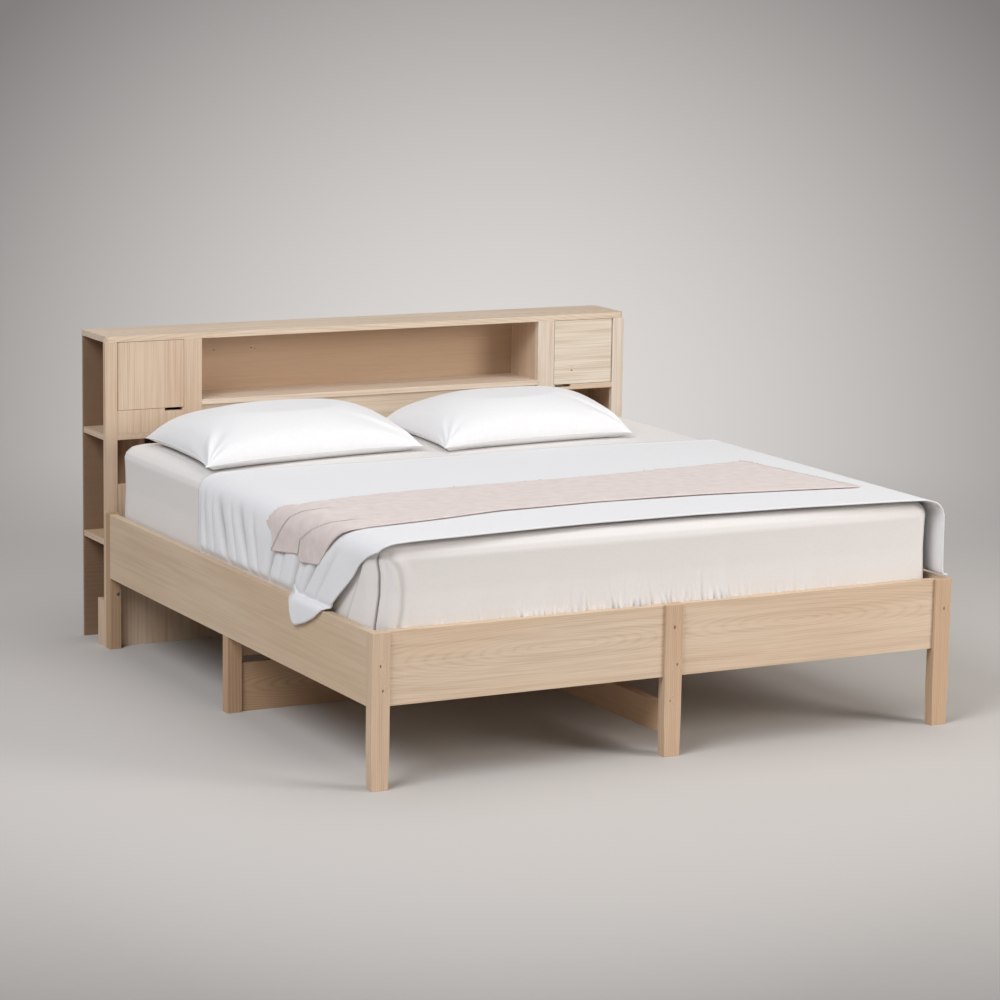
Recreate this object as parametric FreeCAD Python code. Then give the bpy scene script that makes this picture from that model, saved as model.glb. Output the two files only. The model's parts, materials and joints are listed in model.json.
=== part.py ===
# Bookcase headboard bed with bedding, in millimetres.
# +X is the right of the bed seen from its foot, +Y points to the headboard, +Z is up.
# The origin is on the floor, in the middle of the whole bed.
import FreeCAD, Part
import math
import os
from FreeCAD import Vector

os.makedirs("parts", exist_ok=True)

# Overall sizes
bed_width = 2006.0
frame_length = 2080.0
headboard_depth = 220.0
headboard_height = 1065.0
leg_height = 466.0
rail_height = 220.0
rail_thickness = 28.0

# Legs
leg_depth = 38.0
foot_leg_width = 58.0
head_leg_width = 40.0
mid_leg_width = 50.0
mid_leg_setback = 1040.0
leg_taper = 3.0
leg_taper_height = 110.0

# Frame joinery
tenon_thickness = 12.0
tenon_length = 22.0
tenon_shoulder = 20.0
joint_clearance = 0.2
ledger_width = 30.0
ledger_height = 40.0
slat_drop = 56.0
slat_count = 13
slat_width = 70.0
slat_thickness = 18.0
slat_margin = 22.0
slat_end_gap = 2.0
centre_beam_width = 45.0
centre_beam_height = 70.0
cross_board_thickness = 22.0
cross_board_setback = 1050.0
cross_board_height = 157.0
cross_gap = 19.0
stretcher_width = 30.0
stretcher_bottom = 63.0
stretcher_top = 156.0
ledger_end_gap = 2.0
head_rail_drop = 4.0
head_tenon_gap = 4.0

# Metalwork
bracket_leg = 60.0
bracket_thickness = 3.0
bracket_rise = 24.0
bracket_height = 80.0
bracket_screw_inset = 20.0
bracket_screw_along = 0.7
bracket_screw_across = 0.82
hanger_width = 160.0
hanger_seat_depth = 40.0
hanger_screw_inset = 15.0
beam_end_gap = 0.3
screw_diameter = 4.0
screw_head_diameter = 8.0
screw_head_height = 2.5
screw_length = 18.0
ledger_screw_length = 45.0
ledger_screw_count = 6
hole_clearance = 0.2
dowel_diameter = 8.0
dowel_length = 30.0
dowel_setback = 40.0
stile_dowel_shift = 8.0
shelf_dowel_shift = 12.0
divider_dowel_shift = 10.0
dowel_into_shelf = 9.0
dowel_into_stretcher = 16.0
dowel_into_mid_leg = 12.0
board_dowel_shares = (0.3, 0.7)
beam_dowel_drops = (120.0, 40.0)
stretcher_dowel_inset = 25.0
bolt_diameter = 8.0
bolt_head_diameter = 13.0
bolt_head_height = 5.0
bolt_heights = (190.0, 232.0)
nut_height = 6.5
nut_clearance = 3.5
bolt_run_out = 3.0
hole_run_out = 1.0

# Headboard
board = 20.0
back_thickness = 12.0
back_overhang = 3.0
corner_radius = 20.0
stile_width = 44.0
inner_stile_width = 66.0
end_bay_width = 242.0
panel_setback = 2.0
panel_top = 560.0
niche_shelf_top = 834.0
niche_shelf_thickness = 18.0
headrest_setback = 12.0
headrest_thickness = 18.0
side_column_width = 130.0
upper_shelf_top = 732.0
lower_shelf_top = 372.0
compartment_floor_top = 812.0
cubby_floor_top = 702.0
finger_slot_width = 64.0
finger_slot_height = 9.0
finger_slot_depth = 30.0
finger_slot_inset = 6.0
foot_block_length = 56.0
foot_block_height = 160.0

# Doors
door_thickness = 18.0
door_gap = 1.5
pivot_radius = 4.0
pivot_length = 27.0
pivot_sink = 12.0
pivot_clearance = 0.05
collar_radius = 7.0
collar_clearance = 0.1
bush_radius = 6.0
bush_length = 16.0
catch_width = 26.0
catch_height = 18.0
catch_depth = 14.0
catch_gap = 0.3
strike_width = 20.0
strike_height = 14.0
strike_thickness = 1.5
strike_inset = 8.0

# Bedding
mattress_side_gap = 10.0
mattress_foot_gap = 4.0
mattress_head_gap = 8.0
mattress_height = 282.0
mattress_corner = 90.0
bedding_gap = 0.4
sheet_thickness = 1.5
cover_thickness = 6.0
cover_side_gap = 5.0
cover_lift = 1.0
cover_foot_edge = 74.0
cover_head_gap = 770.0
cover_flap_end = 560.0
cover_flap_drop = 73.0
cover_fold_depth = 5.0
cover_fold_width = 62.0
flap_fold_depth = 2.5
flap_gap = 0.8
flat_fold = 0.3
throw_thickness = 6.0
throw_fold_depth = 2.0
pillow_height = 140.0

# Derived places
half_width = bed_width / 2
foot_y = -(frame_length + headboard_depth) / 2
head_y = foot_y + frame_length
rear_y = foot_y + frame_length + headboard_depth
left = -half_width
rail_bottom = leg_height - rail_height
slat_bed_height = leg_height - slat_drop
bracket_bottom = rail_bottom + bracket_rise
bolt_inset = board + bolt_head_diameter / 2 + nut_clearance
cover_flap_bottom = leg_height - cover_flap_drop
inner_x = left + rail_thickness
leg_back_y = foot_y + leg_depth
head_leg_y = head_y - leg_depth
top_bottom = headboard_height - board
bay_left = left + stile_width
bay_right = bay_left + end_bay_width
niche_left = bay_right + inner_stile_width
back_y = rear_y - back_overhang - back_thickness
frame_back_y = head_y + board
top_of_slats = slat_bed_height + slat_thickness

pieces = {}
drillings = []


def block(x0, x1, y0, y1, z0, z1):
    """Box between two corners."""
    return Part.makeBox(x1 - x0, y1 - y0, z1 - z0, Vector(x0, y0, z0))


def mirrored(shape):
    """The same shape on the other side of the bed."""
    return shape.mirror(Vector(0, 0, 0), Vector(1, 0, 0))


def rod(start, direction, radius, length):
    """Cylinder from a start point."""
    return Part.makeCylinder(radius, length, start, direction)


def fuse(first, *others):
    """One solid from touching blocks."""
    return first.fuse(list(others)).removeSplitter()


def grown(x0, x1, y0, y1, z0, z1, gap):
    """Mortise: the tenon's block with a clearance all round."""
    return block(x0 - gap, x1 + gap, y0 - gap, y1 + gap, z0 - gap, z1 + gap)


def tube_pair(axis_start, axis, outer, inner, length):
    """Bush: a cylinder with a bore."""
    return rod(axis_start, axis, outer, length).cut(rod(axis_start, axis, inner, length))


def drill(names, hole):
    """Remember a hole that goes through several pieces."""
    drillings.append((names, hole))


def apply_drillings():
    """Cut the remembered holes, piece by piece."""
    holes = {}
    for names, hole in drillings:
        for name in names:
            holes.setdefault(name, []).append(hole)
    for name, cutters in holes.items():
        pieces[name] = pieces[name].cut(cutters)


# ---------------------------------------------------------------- fasteners
bracket_screws = []
ledger_screws = []
dowels = []
bolts = []


def screw(group, start, direction, length, names):
    """Round-head screw whose head sits on the start point."""
    back = direction * -screw_head_height
    head = rod(start + back, direction, screw_head_diameter / 2, screw_head_height)
    shank = rod(start, direction, screw_diameter / 2, length)
    group.append(fuse(head, shank))
    drill(names, rod(start, direction, screw_diameter / 2 + hole_clearance / 2, length + hole_run_out))


def dowel(centre, direction, names, first_part=dowel_length / 2):
    """Wooden dowel across the joint at the given point."""
    start = centre - direction * first_part
    dowels.append(rod(start, direction, dowel_diameter / 2, dowel_length))
    hole_start = start - direction * (hole_run_out / 2)
    radius = (dowel_diameter + hole_clearance) / 2
    drill(names, rod(hole_start, direction, radius, dowel_length + hole_run_out))


# ---------------------------------------------------------------- bed frame
tenon_bottom = rail_bottom + tenon_shoulder
tenon_top = leg_height - tenon_shoulder
side_tenon_x0 = left + (rail_thickness - tenon_thickness) / 2
side_tenon_x1 = side_tenon_x0 + tenon_thickness
foot_rail_y1 = leg_back_y
foot_rail_y0 = foot_rail_y1 - rail_thickness
foot_tenon_y0 = foot_rail_y0 + (rail_thickness - tenon_thickness) / 2
foot_tenon_y1 = foot_tenon_y0 + tenon_thickness
head_tenon_x = side_tenon_x1 + head_tenon_gap
head_rail_top = top_of_slats - head_rail_drop


def tapered_leg(x0, x1):
    """Post at the foot, slightly slimmer towards the floor."""
    outline = [
        Vector(x0 + leg_taper, foot_y, 0),
        Vector(x1 - leg_taper, foot_y, 0),
        Vector(x1, foot_y, leg_taper_height),
        Vector(x1, foot_y, leg_height),
        Vector(x0, foot_y, leg_height),
        Vector(x0, foot_y, leg_taper_height),
        Vector(x0 + leg_taper, foot_y, 0),
    ]
    return Part.Face(Part.makePolygon(outline)).extrude(Vector(0, leg_depth, 0))


def side_mortise(end_y, direction):
    """Mortise of the side rail, reaching into a leg from its end."""
    y0 = min(end_y, end_y + direction * tenon_length)
    y1 = max(end_y, end_y + direction * tenon_length)
    return grown(side_tenon_x0, side_tenon_x1, y0, y1, tenon_bottom, tenon_top, joint_clearance)


def foot_mortise(face_x, direction):
    """Mortise of the foot rail, reaching into a leg from its face."""
    x0 = min(face_x, face_x + direction * tenon_length)
    x1 = max(face_x, face_x + direction * tenon_length)
    return grown(x0, x1, foot_tenon_y0, foot_tenon_y1, tenon_bottom, tenon_top, joint_clearance)


def make_foot_legs():
    """Two corner posts and the centre post with their mortises."""
    inner_face = left + foot_leg_width
    corner = tapered_leg(left, inner_face)
    corner = corner.cut([side_mortise(leg_back_y, -1), foot_mortise(inner_face, -1)])
    half = foot_leg_width / 2
    centre = tapered_leg(-half, half)
    stub = grown(-stretcher_width / 4, stretcher_width / 4, leg_back_y - tenon_thickness, leg_back_y,
                 stretcher_bottom + tenon_shoulder, stretcher_top - tenon_shoulder, joint_clearance)
    centre = centre.cut([foot_mortise(-half, 1), foot_mortise(half, -1), stub])
    pieces["foot_leg_left"] = corner
    pieces["foot_leg_right"] = mirrored(corner)
    pieces["foot_leg_centre"] = centre


def make_head_legs():
    """Posts in front of the headboard."""
    inner_face = left + head_leg_width
    leg = block(left, inner_face, head_leg_y, head_y, 0, leg_height)
    rail_y0 = head_leg_y + (rail_thickness - tenon_thickness) / 2
    head_mortise = grown(head_tenon_x, inner_face, rail_y0, rail_y0 + tenon_thickness,
                         tenon_bottom + tenon_shoulder, head_rail_top - tenon_shoulder, joint_clearance)
    leg = leg.cut([side_mortise(head_leg_y, 1), head_mortise])
    pieces["head_leg_left"] = leg
    pieces["head_leg_right"] = mirrored(leg)


def make_mid_legs():
    """Legs under the side rails, with a tongue that goes up behind the rail."""
    y0 = foot_y + mid_leg_setback
    post = block(left, left + mid_leg_width, y0, y0 + leg_depth, 0, rail_bottom)
    tongue_top = slat_bed_height - ledger_height
    tongue = block(inner_x, left + mid_leg_width, y0, y0 + leg_depth, rail_bottom, tongue_top)
    leg = fuse(post, tongue)
    pieces["mid_leg_left"] = leg
    pieces["mid_leg_right"] = mirrored(leg)


def make_side_rails():
    """Deep side rails with a stub tenon at each end."""
    rail = block(left, inner_x, leg_back_y, head_leg_y, rail_bottom, leg_height)
    foot_tenon = block(side_tenon_x0, side_tenon_x1, leg_back_y - tenon_length, leg_back_y,
                       tenon_bottom, tenon_top)
    head_tenon = block(side_tenon_x0, side_tenon_x1, head_leg_y, head_leg_y + tenon_length,
                       tenon_bottom, tenon_top)
    rail = fuse(rail, foot_tenon, head_tenon)
    pieces["side_rail_left"] = rail
    pieces["side_rail_right"] = mirrored(rail)


def make_foot_rails():
    """Two rails between the three posts at the foot."""
    x0 = left + foot_leg_width
    x1 = -foot_leg_width / 2
    rail = block(x0, x1, foot_rail_y0, foot_rail_y1, rail_bottom, leg_height)
    left_tenon = block(x0 - tenon_length, x0, foot_tenon_y0, foot_tenon_y1, tenon_bottom, tenon_top)
    right_tenon = block(x1, x1 + tenon_length, foot_tenon_y0, foot_tenon_y1, tenon_bottom, tenon_top)
    rail = fuse(rail, left_tenon, right_tenon)
    pieces["foot_rail_left"] = rail
    pieces["foot_rail_right"] = mirrored(rail)


beam_x = centre_beam_width / 2
beam_bottom = slat_bed_height - centre_beam_height
hanger_front_y = leg_back_y + bracket_thickness
beam_notch_y = head_leg_y + rail_thickness / 2


def make_head_rail():
    """Cross member between the head legs, notched for the centre beam."""
    x0 = left + head_leg_width
    rail = block(x0, -x0, head_leg_y, head_leg_y + rail_thickness, tenon_bottom, head_rail_top)
    y0 = head_leg_y + (rail_thickness - tenon_thickness) / 2
    tenon = block(head_tenon_x, x0, y0, y0 + tenon_thickness, tenon_bottom + tenon_shoulder,
                  head_rail_top - tenon_shoulder)
    notch = block(-beam_x - joint_clearance, beam_x + joint_clearance, head_leg_y,
                  beam_notch_y + joint_clearance, beam_bottom, head_rail_top)
    pieces["head_rail"] = fuse(rail, tenon, mirrored(tenon)).cut(notch)


def make_slat_supports():
    """Ledgers inside the side rails and the beam along the middle."""
    y0 = leg_back_y + bracket_leg + ledger_end_gap
    y1 = head_leg_y - bracket_leg - ledger_end_gap
    ledger = block(inner_x, inner_x + ledger_width, y0, y1, slat_bed_height - ledger_height, slat_bed_height)
    head_height = screw_head_height
    pitch = (y1 - y0) / ledger_screw_count
    for index in range(ledger_screw_count):
        y = y0 + pitch * (index + 0.5)
        start = Vector(inner_x + ledger_width - head_height, y, slat_bed_height - ledger_height / 2)
        seat = rod(start, Vector(1, 0, 0), screw_head_diameter / 2 + hole_clearance / 2, head_height)
        ledger = ledger.cut(seat)
        add_ledger_screw(start, seat)
    pieces["ledger_left"] = ledger
    pieces["ledger_right"] = mirrored(ledger)
    pieces["centre_beam"] = block(-beam_x, beam_x, hanger_front_y + beam_end_gap, beam_notch_y, beam_bottom,
                                  slat_bed_height)


def add_ledger_screw(start, seat):
    """Sunk screw through the ledger into the rail, on both sides."""
    direction = Vector(-1, 0, 0)
    screw(ledger_screws, start, direction, ledger_screw_length, ["ledger_left", "side_rail_left"])
    other_start = Vector(-start.x, start.y, start.z)
    names = ["ledger_right", "side_rail_right"]
    screw(ledger_screws, other_start, Vector(1, 0, 0), ledger_screw_length, names)


def make_cross_members():
    """Board on the floor under the middle, the beam above it and the stretcher to the foot."""
    x0 = left + mid_leg_width
    y0 = foot_y + cross_board_setback
    y1 = y0 + cross_board_thickness
    board_shape = block(x0, -x0, y0, y1, 0, cross_board_height)
    beam_y0 = y0 + headrest_setback
    beam_shape = block(x0, -x0, beam_y0, beam_y0 + cross_board_thickness,
                       cross_board_height + cross_gap, beam_bottom)
    pieces["mid_cross_board"] = board_shape
    pieces["mid_cross_beam"] = beam_shape
    across = Vector(1, 0, 0)
    for share in board_dowel_shares:
        point = Vector(x0, (y0 + y1) / 2, cross_board_height * share)
        add_side_dowels(point, across, "mid_leg", "mid_cross_board")
    leg_end_y = foot_y + mid_leg_setback + leg_depth
    for drop in beam_dowel_drops:
        point = Vector(x0, (beam_y0 + leg_end_y) / 2, beam_bottom - drop)
        add_side_dowels(point, across, "mid_leg", "mid_cross_beam", dowel_into_mid_leg)
    half = stretcher_width / 2
    stretcher = block(-half, half, leg_back_y, y0, stretcher_bottom, stretcher_top)
    stub = block(-half / 2, half / 2, leg_back_y - tenon_thickness, leg_back_y,
                 stretcher_bottom + tenon_shoulder, stretcher_top - tenon_shoulder)
    pieces["centre_stretcher"] = fuse(stretcher, stub)
    for z in (stretcher_bottom + stretcher_dowel_inset, stretcher_top - stretcher_dowel_inset):
        names = ["centre_stretcher", "mid_cross_board"]
        dowel(Vector(0, y0, z), Vector(0, 1, 0), names, dowel_into_stretcher)


def add_side_dowels(point, across, leg_name, board_name, into_leg=dowel_length / 2):
    """Dowel between a left leg and a cross member, and its mirror image on the right."""
    dowel(point, across, [leg_name + "_left", board_name], into_leg)
    other = Vector(-point.x, point.y, point.z)
    dowel(other, across * -1, [leg_name + "_right", board_name], into_leg)


def make_slats():
    """Loose slats on the ledgers and the centre beam."""
    y0 = leg_back_y + slat_margin
    y1 = head_leg_y - slat_margin - slat_width
    pitch = (y1 - y0) / (slat_count - 1)
    x0 = inner_x + slat_end_gap
    slats = []
    for index in range(slat_count):
        y = y0 + pitch * index
        slats.append(block(x0, -x0, y, y + slat_width, slat_bed_height, top_of_slats))
    pieces["slats"] = Part.makeCompound(slats)


def make_brackets():
    """Steel angles inside the four corners, and the hanger of the centre beam."""
    top = bracket_bottom + bracket_height
    heights = (bracket_bottom + bracket_screw_inset, top - bracket_screw_inset)
    corners = []
    for face_y, direction in ((leg_back_y, 1), (head_leg_y, -1)):
        far_y = face_y + direction * bracket_leg
        near_y = face_y + direction * bracket_thickness
        along = block(inner_x, inner_x + bracket_thickness, min(face_y, far_y), max(face_y, far_y),
                      bracket_bottom, top)
        across = block(inner_x, inner_x + bracket_leg, min(face_y, near_y), max(face_y, near_y),
                       bracket_bottom, top)
        corners.append(fuse(along, across))
        cross_name = "foot_rail" if direction > 0 else "head_rail"
        for z in heights:
            rail_y = face_y + direction * bracket_leg * bracket_screw_along
            rail_point = Vector(inner_x + bracket_thickness, rail_y, z)
            add_bracket_screw(rail_point, Vector(-1, 0, 0), "side_rail")
            cross_point = Vector(inner_x + bracket_leg * bracket_screw_across, near_y, z)
            add_bracket_screw(cross_point, Vector(0, -direction, 0), cross_name)
    pieces["corner_brackets"] = Part.makeCompound(corners + [mirrored(corner) for corner in corners])
    half = hanger_width / 2
    plate = block(-half, half, leg_back_y, hanger_front_y, beam_bottom - bracket_height, beam_bottom)
    seat = block(-beam_x, beam_x, hanger_front_y, hanger_front_y + hanger_seat_depth,
                 beam_bottom - bracket_thickness, beam_bottom)
    pieces["beam_hanger"] = fuse(plate, seat)
    inset = hanger_screw_inset
    for x in (-half + inset, half - inset):
        rail_name = "foot_rail_left" if x < 0 else "foot_rail_right"
        for z in (beam_bottom - bracket_height + inset, beam_bottom - inset):
            names = ["beam_hanger", rail_name]
            screw(bracket_screws, Vector(x, hanger_front_y, z), Vector(0, -1, 0), screw_length, names)


def add_bracket_screw(point, direction, target):
    """Screw through a bracket and its mirror image on the right."""
    suffix = ("", "") if target == "head_rail" else ("_left", "_right")
    screw(bracket_screws, point, direction, screw_length, ["corner_brackets", target + suffix[0]])
    other = Vector(-point.x, point.y, point.z)
    other_direction = Vector(-direction.x, direction.y, direction.z)
    screw(bracket_screws, other, other_direction, screw_length, ["corner_brackets", target + suffix[1]])


def make_headboard_bolts():
    """Bolts through the head legs into the headboard's outer stiles."""
    radius = bolt_diameter / 2
    for side in (-1, 1):
        x = side * (half_width - bolt_inset)
        suffix = "left" if side < 0 else "right"
        for z in bolt_heights:
            start = Vector(x, head_leg_y, z)
            along = Vector(0, 1, 0)
            head = rod(start, along, bolt_head_diameter / 2, bolt_head_height)
            shank = rod(start, along, radius, leg_depth + board + nut_height + bolt_run_out)
            nut_start = Vector(x, frame_back_y, z)
            nut = rod(nut_start, along, bolt_head_diameter / 2, nut_height)
            bolts.append(fuse(head, shank, nut))
            seat = rod(start, along, bolt_head_diameter / 2 + hole_clearance, bolt_head_height)
            hole = rod(start, along, radius + hole_clearance / 2, leg_depth + board + hole_run_out)
            drill(["head_leg_" + suffix], seat)
            drill(["head_leg_" + suffix, "outer_stile_" + suffix], hole)
    pieces["headboard_bolts"] = Part.makeCompound(bolts)


# ---------------------------------------------------------------- headboard
shelf_back_y = back_y
partition_left_x = niche_left - board
compartment_left_x = left + side_column_width + board


def make_top_board():
    """Top with rounded corners at the front."""
    shape = block(left, half_width, head_y, rear_y, top_bottom, headboard_height)
    front_edges = [edge for edge in shape.Edges if is_front_corner(edge)]
    pieces["top_board"] = shape.makeFillet(corner_radius, front_edges)


def is_front_corner(edge):
    """True for the two upright edges at the front of the top board."""
    ends = [vertex.Point for vertex in edge.Vertexes]
    at_front = all(abs(point.y - head_y) < 0.01 for point in ends)
    return at_front and abs(ends[0].z - ends[1].z) > board / 2


def make_face_frame():
    """Stiles of the face frame and the panels between them."""
    outer = block(left, bay_left, head_y, frame_back_y, 0, top_bottom)
    inner = block(bay_right, niche_left, head_y, frame_back_y, panel_top, top_bottom)
    front = head_y + panel_setback
    pieces["outer_stile_left"] = outer
    pieces["outer_stile_right"] = mirrored(outer)
    pieces["inner_stile_left"] = inner
    pieces["inner_stile_right"] = mirrored(inner)
    pieces["lower_front_panel"] = block(bay_left, -bay_left, front, frame_back_y, 0, panel_top)
    headrest_y = head_y + headrest_setback
    shelf_bottom = niche_shelf_top - niche_shelf_thickness
    pieces["headrest_panel"] = block(niche_left, -niche_left, headrest_y, headrest_y + headrest_thickness,
                                     panel_top, shelf_bottom)
    pieces["niche_shelf"] = block(niche_left, -niche_left, head_y, shelf_back_y, shelf_bottom,
                                  niche_shelf_top)


def make_carcass():
    """Back panel, partitions and the closed right end."""
    pieces["back_panel"] = block(left, half_width, back_y, back_y + back_thickness, 0, top_bottom)
    partition = block(partition_left_x, niche_left, frame_back_y, back_y, 0, top_bottom)
    pieces["partition_left"] = partition
    pieces["partition_right"] = mirrored(partition)
    pieces["end_panel_right"] = block(half_width - board, half_width, frame_back_y, back_y, 0, top_bottom)


def finger_slot():
    """Slot under a left door's free edge, where fingers reach behind the door."""
    x1 = bay_right - finger_slot_inset
    top = compartment_floor_top
    return block(x1 - finger_slot_width, x1, head_y - 1, head_y + finger_slot_depth,
                 top - finger_slot_height, top + 1)


def make_left_unit():
    """Column that is open to the left side, with its shelves, dividers and fixed apron."""
    upper_bottom = upper_shelf_top - board
    upper = block(left, partition_left_x, frame_back_y, back_y, upper_bottom, upper_shelf_top)
    front_strip = block(bay_left, bay_right, head_y, frame_back_y, upper_bottom, upper_shelf_top)
    pieces["side_shelf_upper"] = fuse(upper, front_strip)
    lower_bottom = lower_shelf_top - board
    pieces["side_shelf_lower"] = block(left, partition_left_x, frame_back_y, back_y, lower_bottom,
                                       lower_shelf_top)
    x0 = left + side_column_width
    pieces["divider_upper"] = block(x0, x0 + board, frame_back_y, back_y, upper_shelf_top, top_bottom)
    pieces["divider_lower"] = block(x0, x0 + board, frame_back_y, back_y, lower_shelf_top, upper_bottom)
    apron = block(bay_left, bay_right, head_y, frame_back_y, upper_shelf_top, compartment_floor_top)
    pieces["apron_left"] = apron.cut(finger_slot())
    pieces["foot_block_left"] = block(left, left + head_leg_width, frame_back_y,
                                      frame_back_y + foot_block_length, 0, foot_block_height)


def make_right_unit():
    """Closed compartment behind the door and the open cubby under it."""
    x0 = -partition_left_x
    x1 = half_width - board
    bay_x0 = -bay_right
    bay_x1 = -bay_left
    floor_bottom = compartment_floor_top - board
    inside = block(x0, x1, frame_back_y, back_y, floor_bottom, compartment_floor_top)
    front_strip = block(bay_x0, bay_x1, head_y, frame_back_y, floor_bottom, compartment_floor_top)
    pieces["compartment_floor_right"] = fuse(inside, front_strip).cut(mirrored(finger_slot()))
    cubby_bottom = cubby_floor_top - board
    front = head_y + panel_setback
    inside = block(x0, x1, frame_back_y, back_y, cubby_bottom, cubby_floor_top)
    front_strip = block(bay_x0, bay_x1, front, frame_back_y, cubby_bottom, cubby_floor_top)
    pieces["cubby_floor_right"] = fuse(inside, front_strip)
    pieces["apron_right"] = block(bay_x0, bay_x1, front, frame_back_y, panel_top, cubby_bottom)


def add_headboard_dowels():
    """Dowels between the boards of the headboard."""
    up = Vector(0, 0, 1)
    across = Vector(1, 0, 0)
    into_board = board * 0.6
    into_top = dowel_length - into_board
    stile_y = head_y + board / 2
    depths = (frame_back_y + dowel_setback, back_y - dowel_setback)
    for side, suffix in ((-1, "left"), (1, "right")):
        outer_x = side * (half_width - stile_width / 2 + stile_dowel_shift)
        dowel(Vector(outer_x, stile_y, top_bottom), up, ["outer_stile_" + suffix, "top_board"], into_top)
        inner_x_place = side * abs(bay_right + inner_stile_width / 2)
        dowel(Vector(inner_x_place, stile_y, top_bottom), up, ["inner_stile_" + suffix, "top_board"],
              into_top)
        partition_x = side * abs(niche_left - board / 2)
        for y in depths:
            names = ["partition_" + suffix, "top_board"]
            dowel(Vector(partition_x, y, top_bottom), up, names, into_top)
            shelf_z = niche_shelf_top - niche_shelf_thickness / 2
            shelf_point = Vector(side * abs(niche_left), y + shelf_dowel_shift, shelf_z)
            names = ["partition_" + suffix, "niche_shelf"]
            dowel(shelf_point, across * -side, names, into_board)
    for y in depths:
        end_x = half_width - board / 2
        dowel(Vector(end_x, y, top_bottom), up, ["end_panel_right", "top_board"], into_top)
        for shelf_name, shelf_top in (("side_shelf_upper", upper_shelf_top),
                                      ("side_shelf_lower", lower_shelf_top)):
            point = Vector(partition_left_x, y, shelf_top - board / 2)
            dowel(point, across, [shelf_name, "partition_left"], into_top)
        for shelf_name, shelf_top in (("compartment_floor_right", compartment_floor_top),
                                      ("cubby_floor_right", cubby_floor_top)):
            point = Vector(-partition_left_x, y, shelf_top - board / 2)
            dowel(point, across, ["partition_right", shelf_name], into_board)
            point = Vector(half_width - board, y, shelf_top - board / 2)
            dowel(point, across, [shelf_name, "end_panel_right"], into_top)
        divider_x = left + side_column_width + board / 2
        point = Vector(divider_x, y - divider_dowel_shift, upper_shelf_top)
        dowel(point, up, ["side_shelf_upper", "divider_upper"], dowel_into_shelf)


# ---------------------------------------------------------------- doors
pivot_x = bay_left + door_gap + door_thickness / 2
pivot_y = head_y + door_thickness / 2
door_bottom = compartment_floor_top + door_gap
door_top = top_bottom - door_gap


def make_door():
    """Left door: slab whose hinge edge is rounded about the pivot."""
    x0 = bay_left + door_gap
    x1 = bay_right - door_gap
    height = door_top - door_bottom
    half = door_thickness / 2
    slab = block(pivot_x, x1, head_y, head_y + door_thickness, door_bottom, door_top)
    back_corner = block(x0, pivot_x, pivot_y, pivot_y + half, door_bottom, door_top)
    nose = rod(Vector(pivot_x, pivot_y, door_bottom), Vector(0, 0, 1), half, height)
    return fuse(slab, back_corner, nose)


def pivot_parts():
    """Two pins and two bushes on the left door's axis, and the cuts for them."""
    up = Vector(0, 0, 1)
    low_pin_z = compartment_floor_top - pivot_sink
    high_pin_z = top_bottom + pivot_sink - pivot_length
    low_bush_z = door_bottom
    high_bush_z = door_top - bush_length
    pins = [rod(Vector(pivot_x, pivot_y, z), up, pivot_radius, pivot_length)
            for z in (low_pin_z, high_pin_z)]
    collar_start = Vector(pivot_x, pivot_y, compartment_floor_top)
    pins[0] = fuse(pins[0], rod(collar_start, up, collar_radius, door_gap - collar_clearance))
    bore = pivot_radius + pivot_clearance
    bushes = [tube_pair(Vector(pivot_x, pivot_y, z), up, bush_radius, bore, bush_length)
              for z in (low_bush_z, high_bush_z)]
    pockets = [rod(Vector(pivot_x, pivot_y, z), up, bush_radius + pivot_clearance, bush_length)
               for z in (low_bush_z, high_bush_z)]
    pin_holes = [rod(Vector(pivot_x, pivot_y, z), up, bore, pivot_length)
                 for z in (low_pin_z - 0.3, high_pin_z + 0.3)]
    return pins, bushes, pockets, pin_holes


def make_doors():
    """Both doors with bushes, pins, magnetic catches and strike plates."""
    pins, bushes, pockets, pin_holes = pivot_parts()
    door = make_door().cut(pockets)
    pieces["door_left"] = door
    pieces["door_right"] = mirrored(door)
    pieces["pivot_bushes_left"] = Part.makeCompound(bushes)
    pieces["pivot_bushes_right"] = Part.makeCompound([mirrored(bush) for bush in bushes])
    pieces["door_pivot_pins"] = Part.makeCompound(pins + [mirrored(pin) for pin in pins])
    drill(["apron_left", "top_board"], Part.makeCompound(pin_holes))
    drill(["compartment_floor_right", "top_board"], mirrored(Part.makeCompound(pin_holes)))
    strike_x1 = bay_right - door_gap - strike_inset
    strike_y = head_y + door_thickness
    strike_z = top_bottom - catch_height + (catch_height - strike_height) / 2 - door_gap
    strike = block(strike_x1 - strike_width, strike_x1, strike_y, strike_y + strike_thickness,
                   strike_z, strike_z + strike_height)
    catch_y = strike_y + strike_thickness + catch_gap
    catch_x1 = strike_x1 + (catch_width - strike_width) / 2
    catch = block(catch_x1 - catch_width, catch_x1, catch_y, catch_y + catch_depth,
                  top_bottom - catch_height, top_bottom)
    pieces["strike_left"] = strike
    pieces["strike_right"] = mirrored(strike)
    pieces["door_catches"] = Part.makeCompound([catch, mirrored(catch)])


# ---------------------------------------------------------------- bedding
mattress_x = half_width - rail_thickness - mattress_side_gap
mattress_y0 = leg_back_y + mattress_foot_gap
mattress_y1 = head_y - mattress_head_gap
mattress_z0 = top_of_slats
crown_top = mattress_z0 + mattress_height


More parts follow.
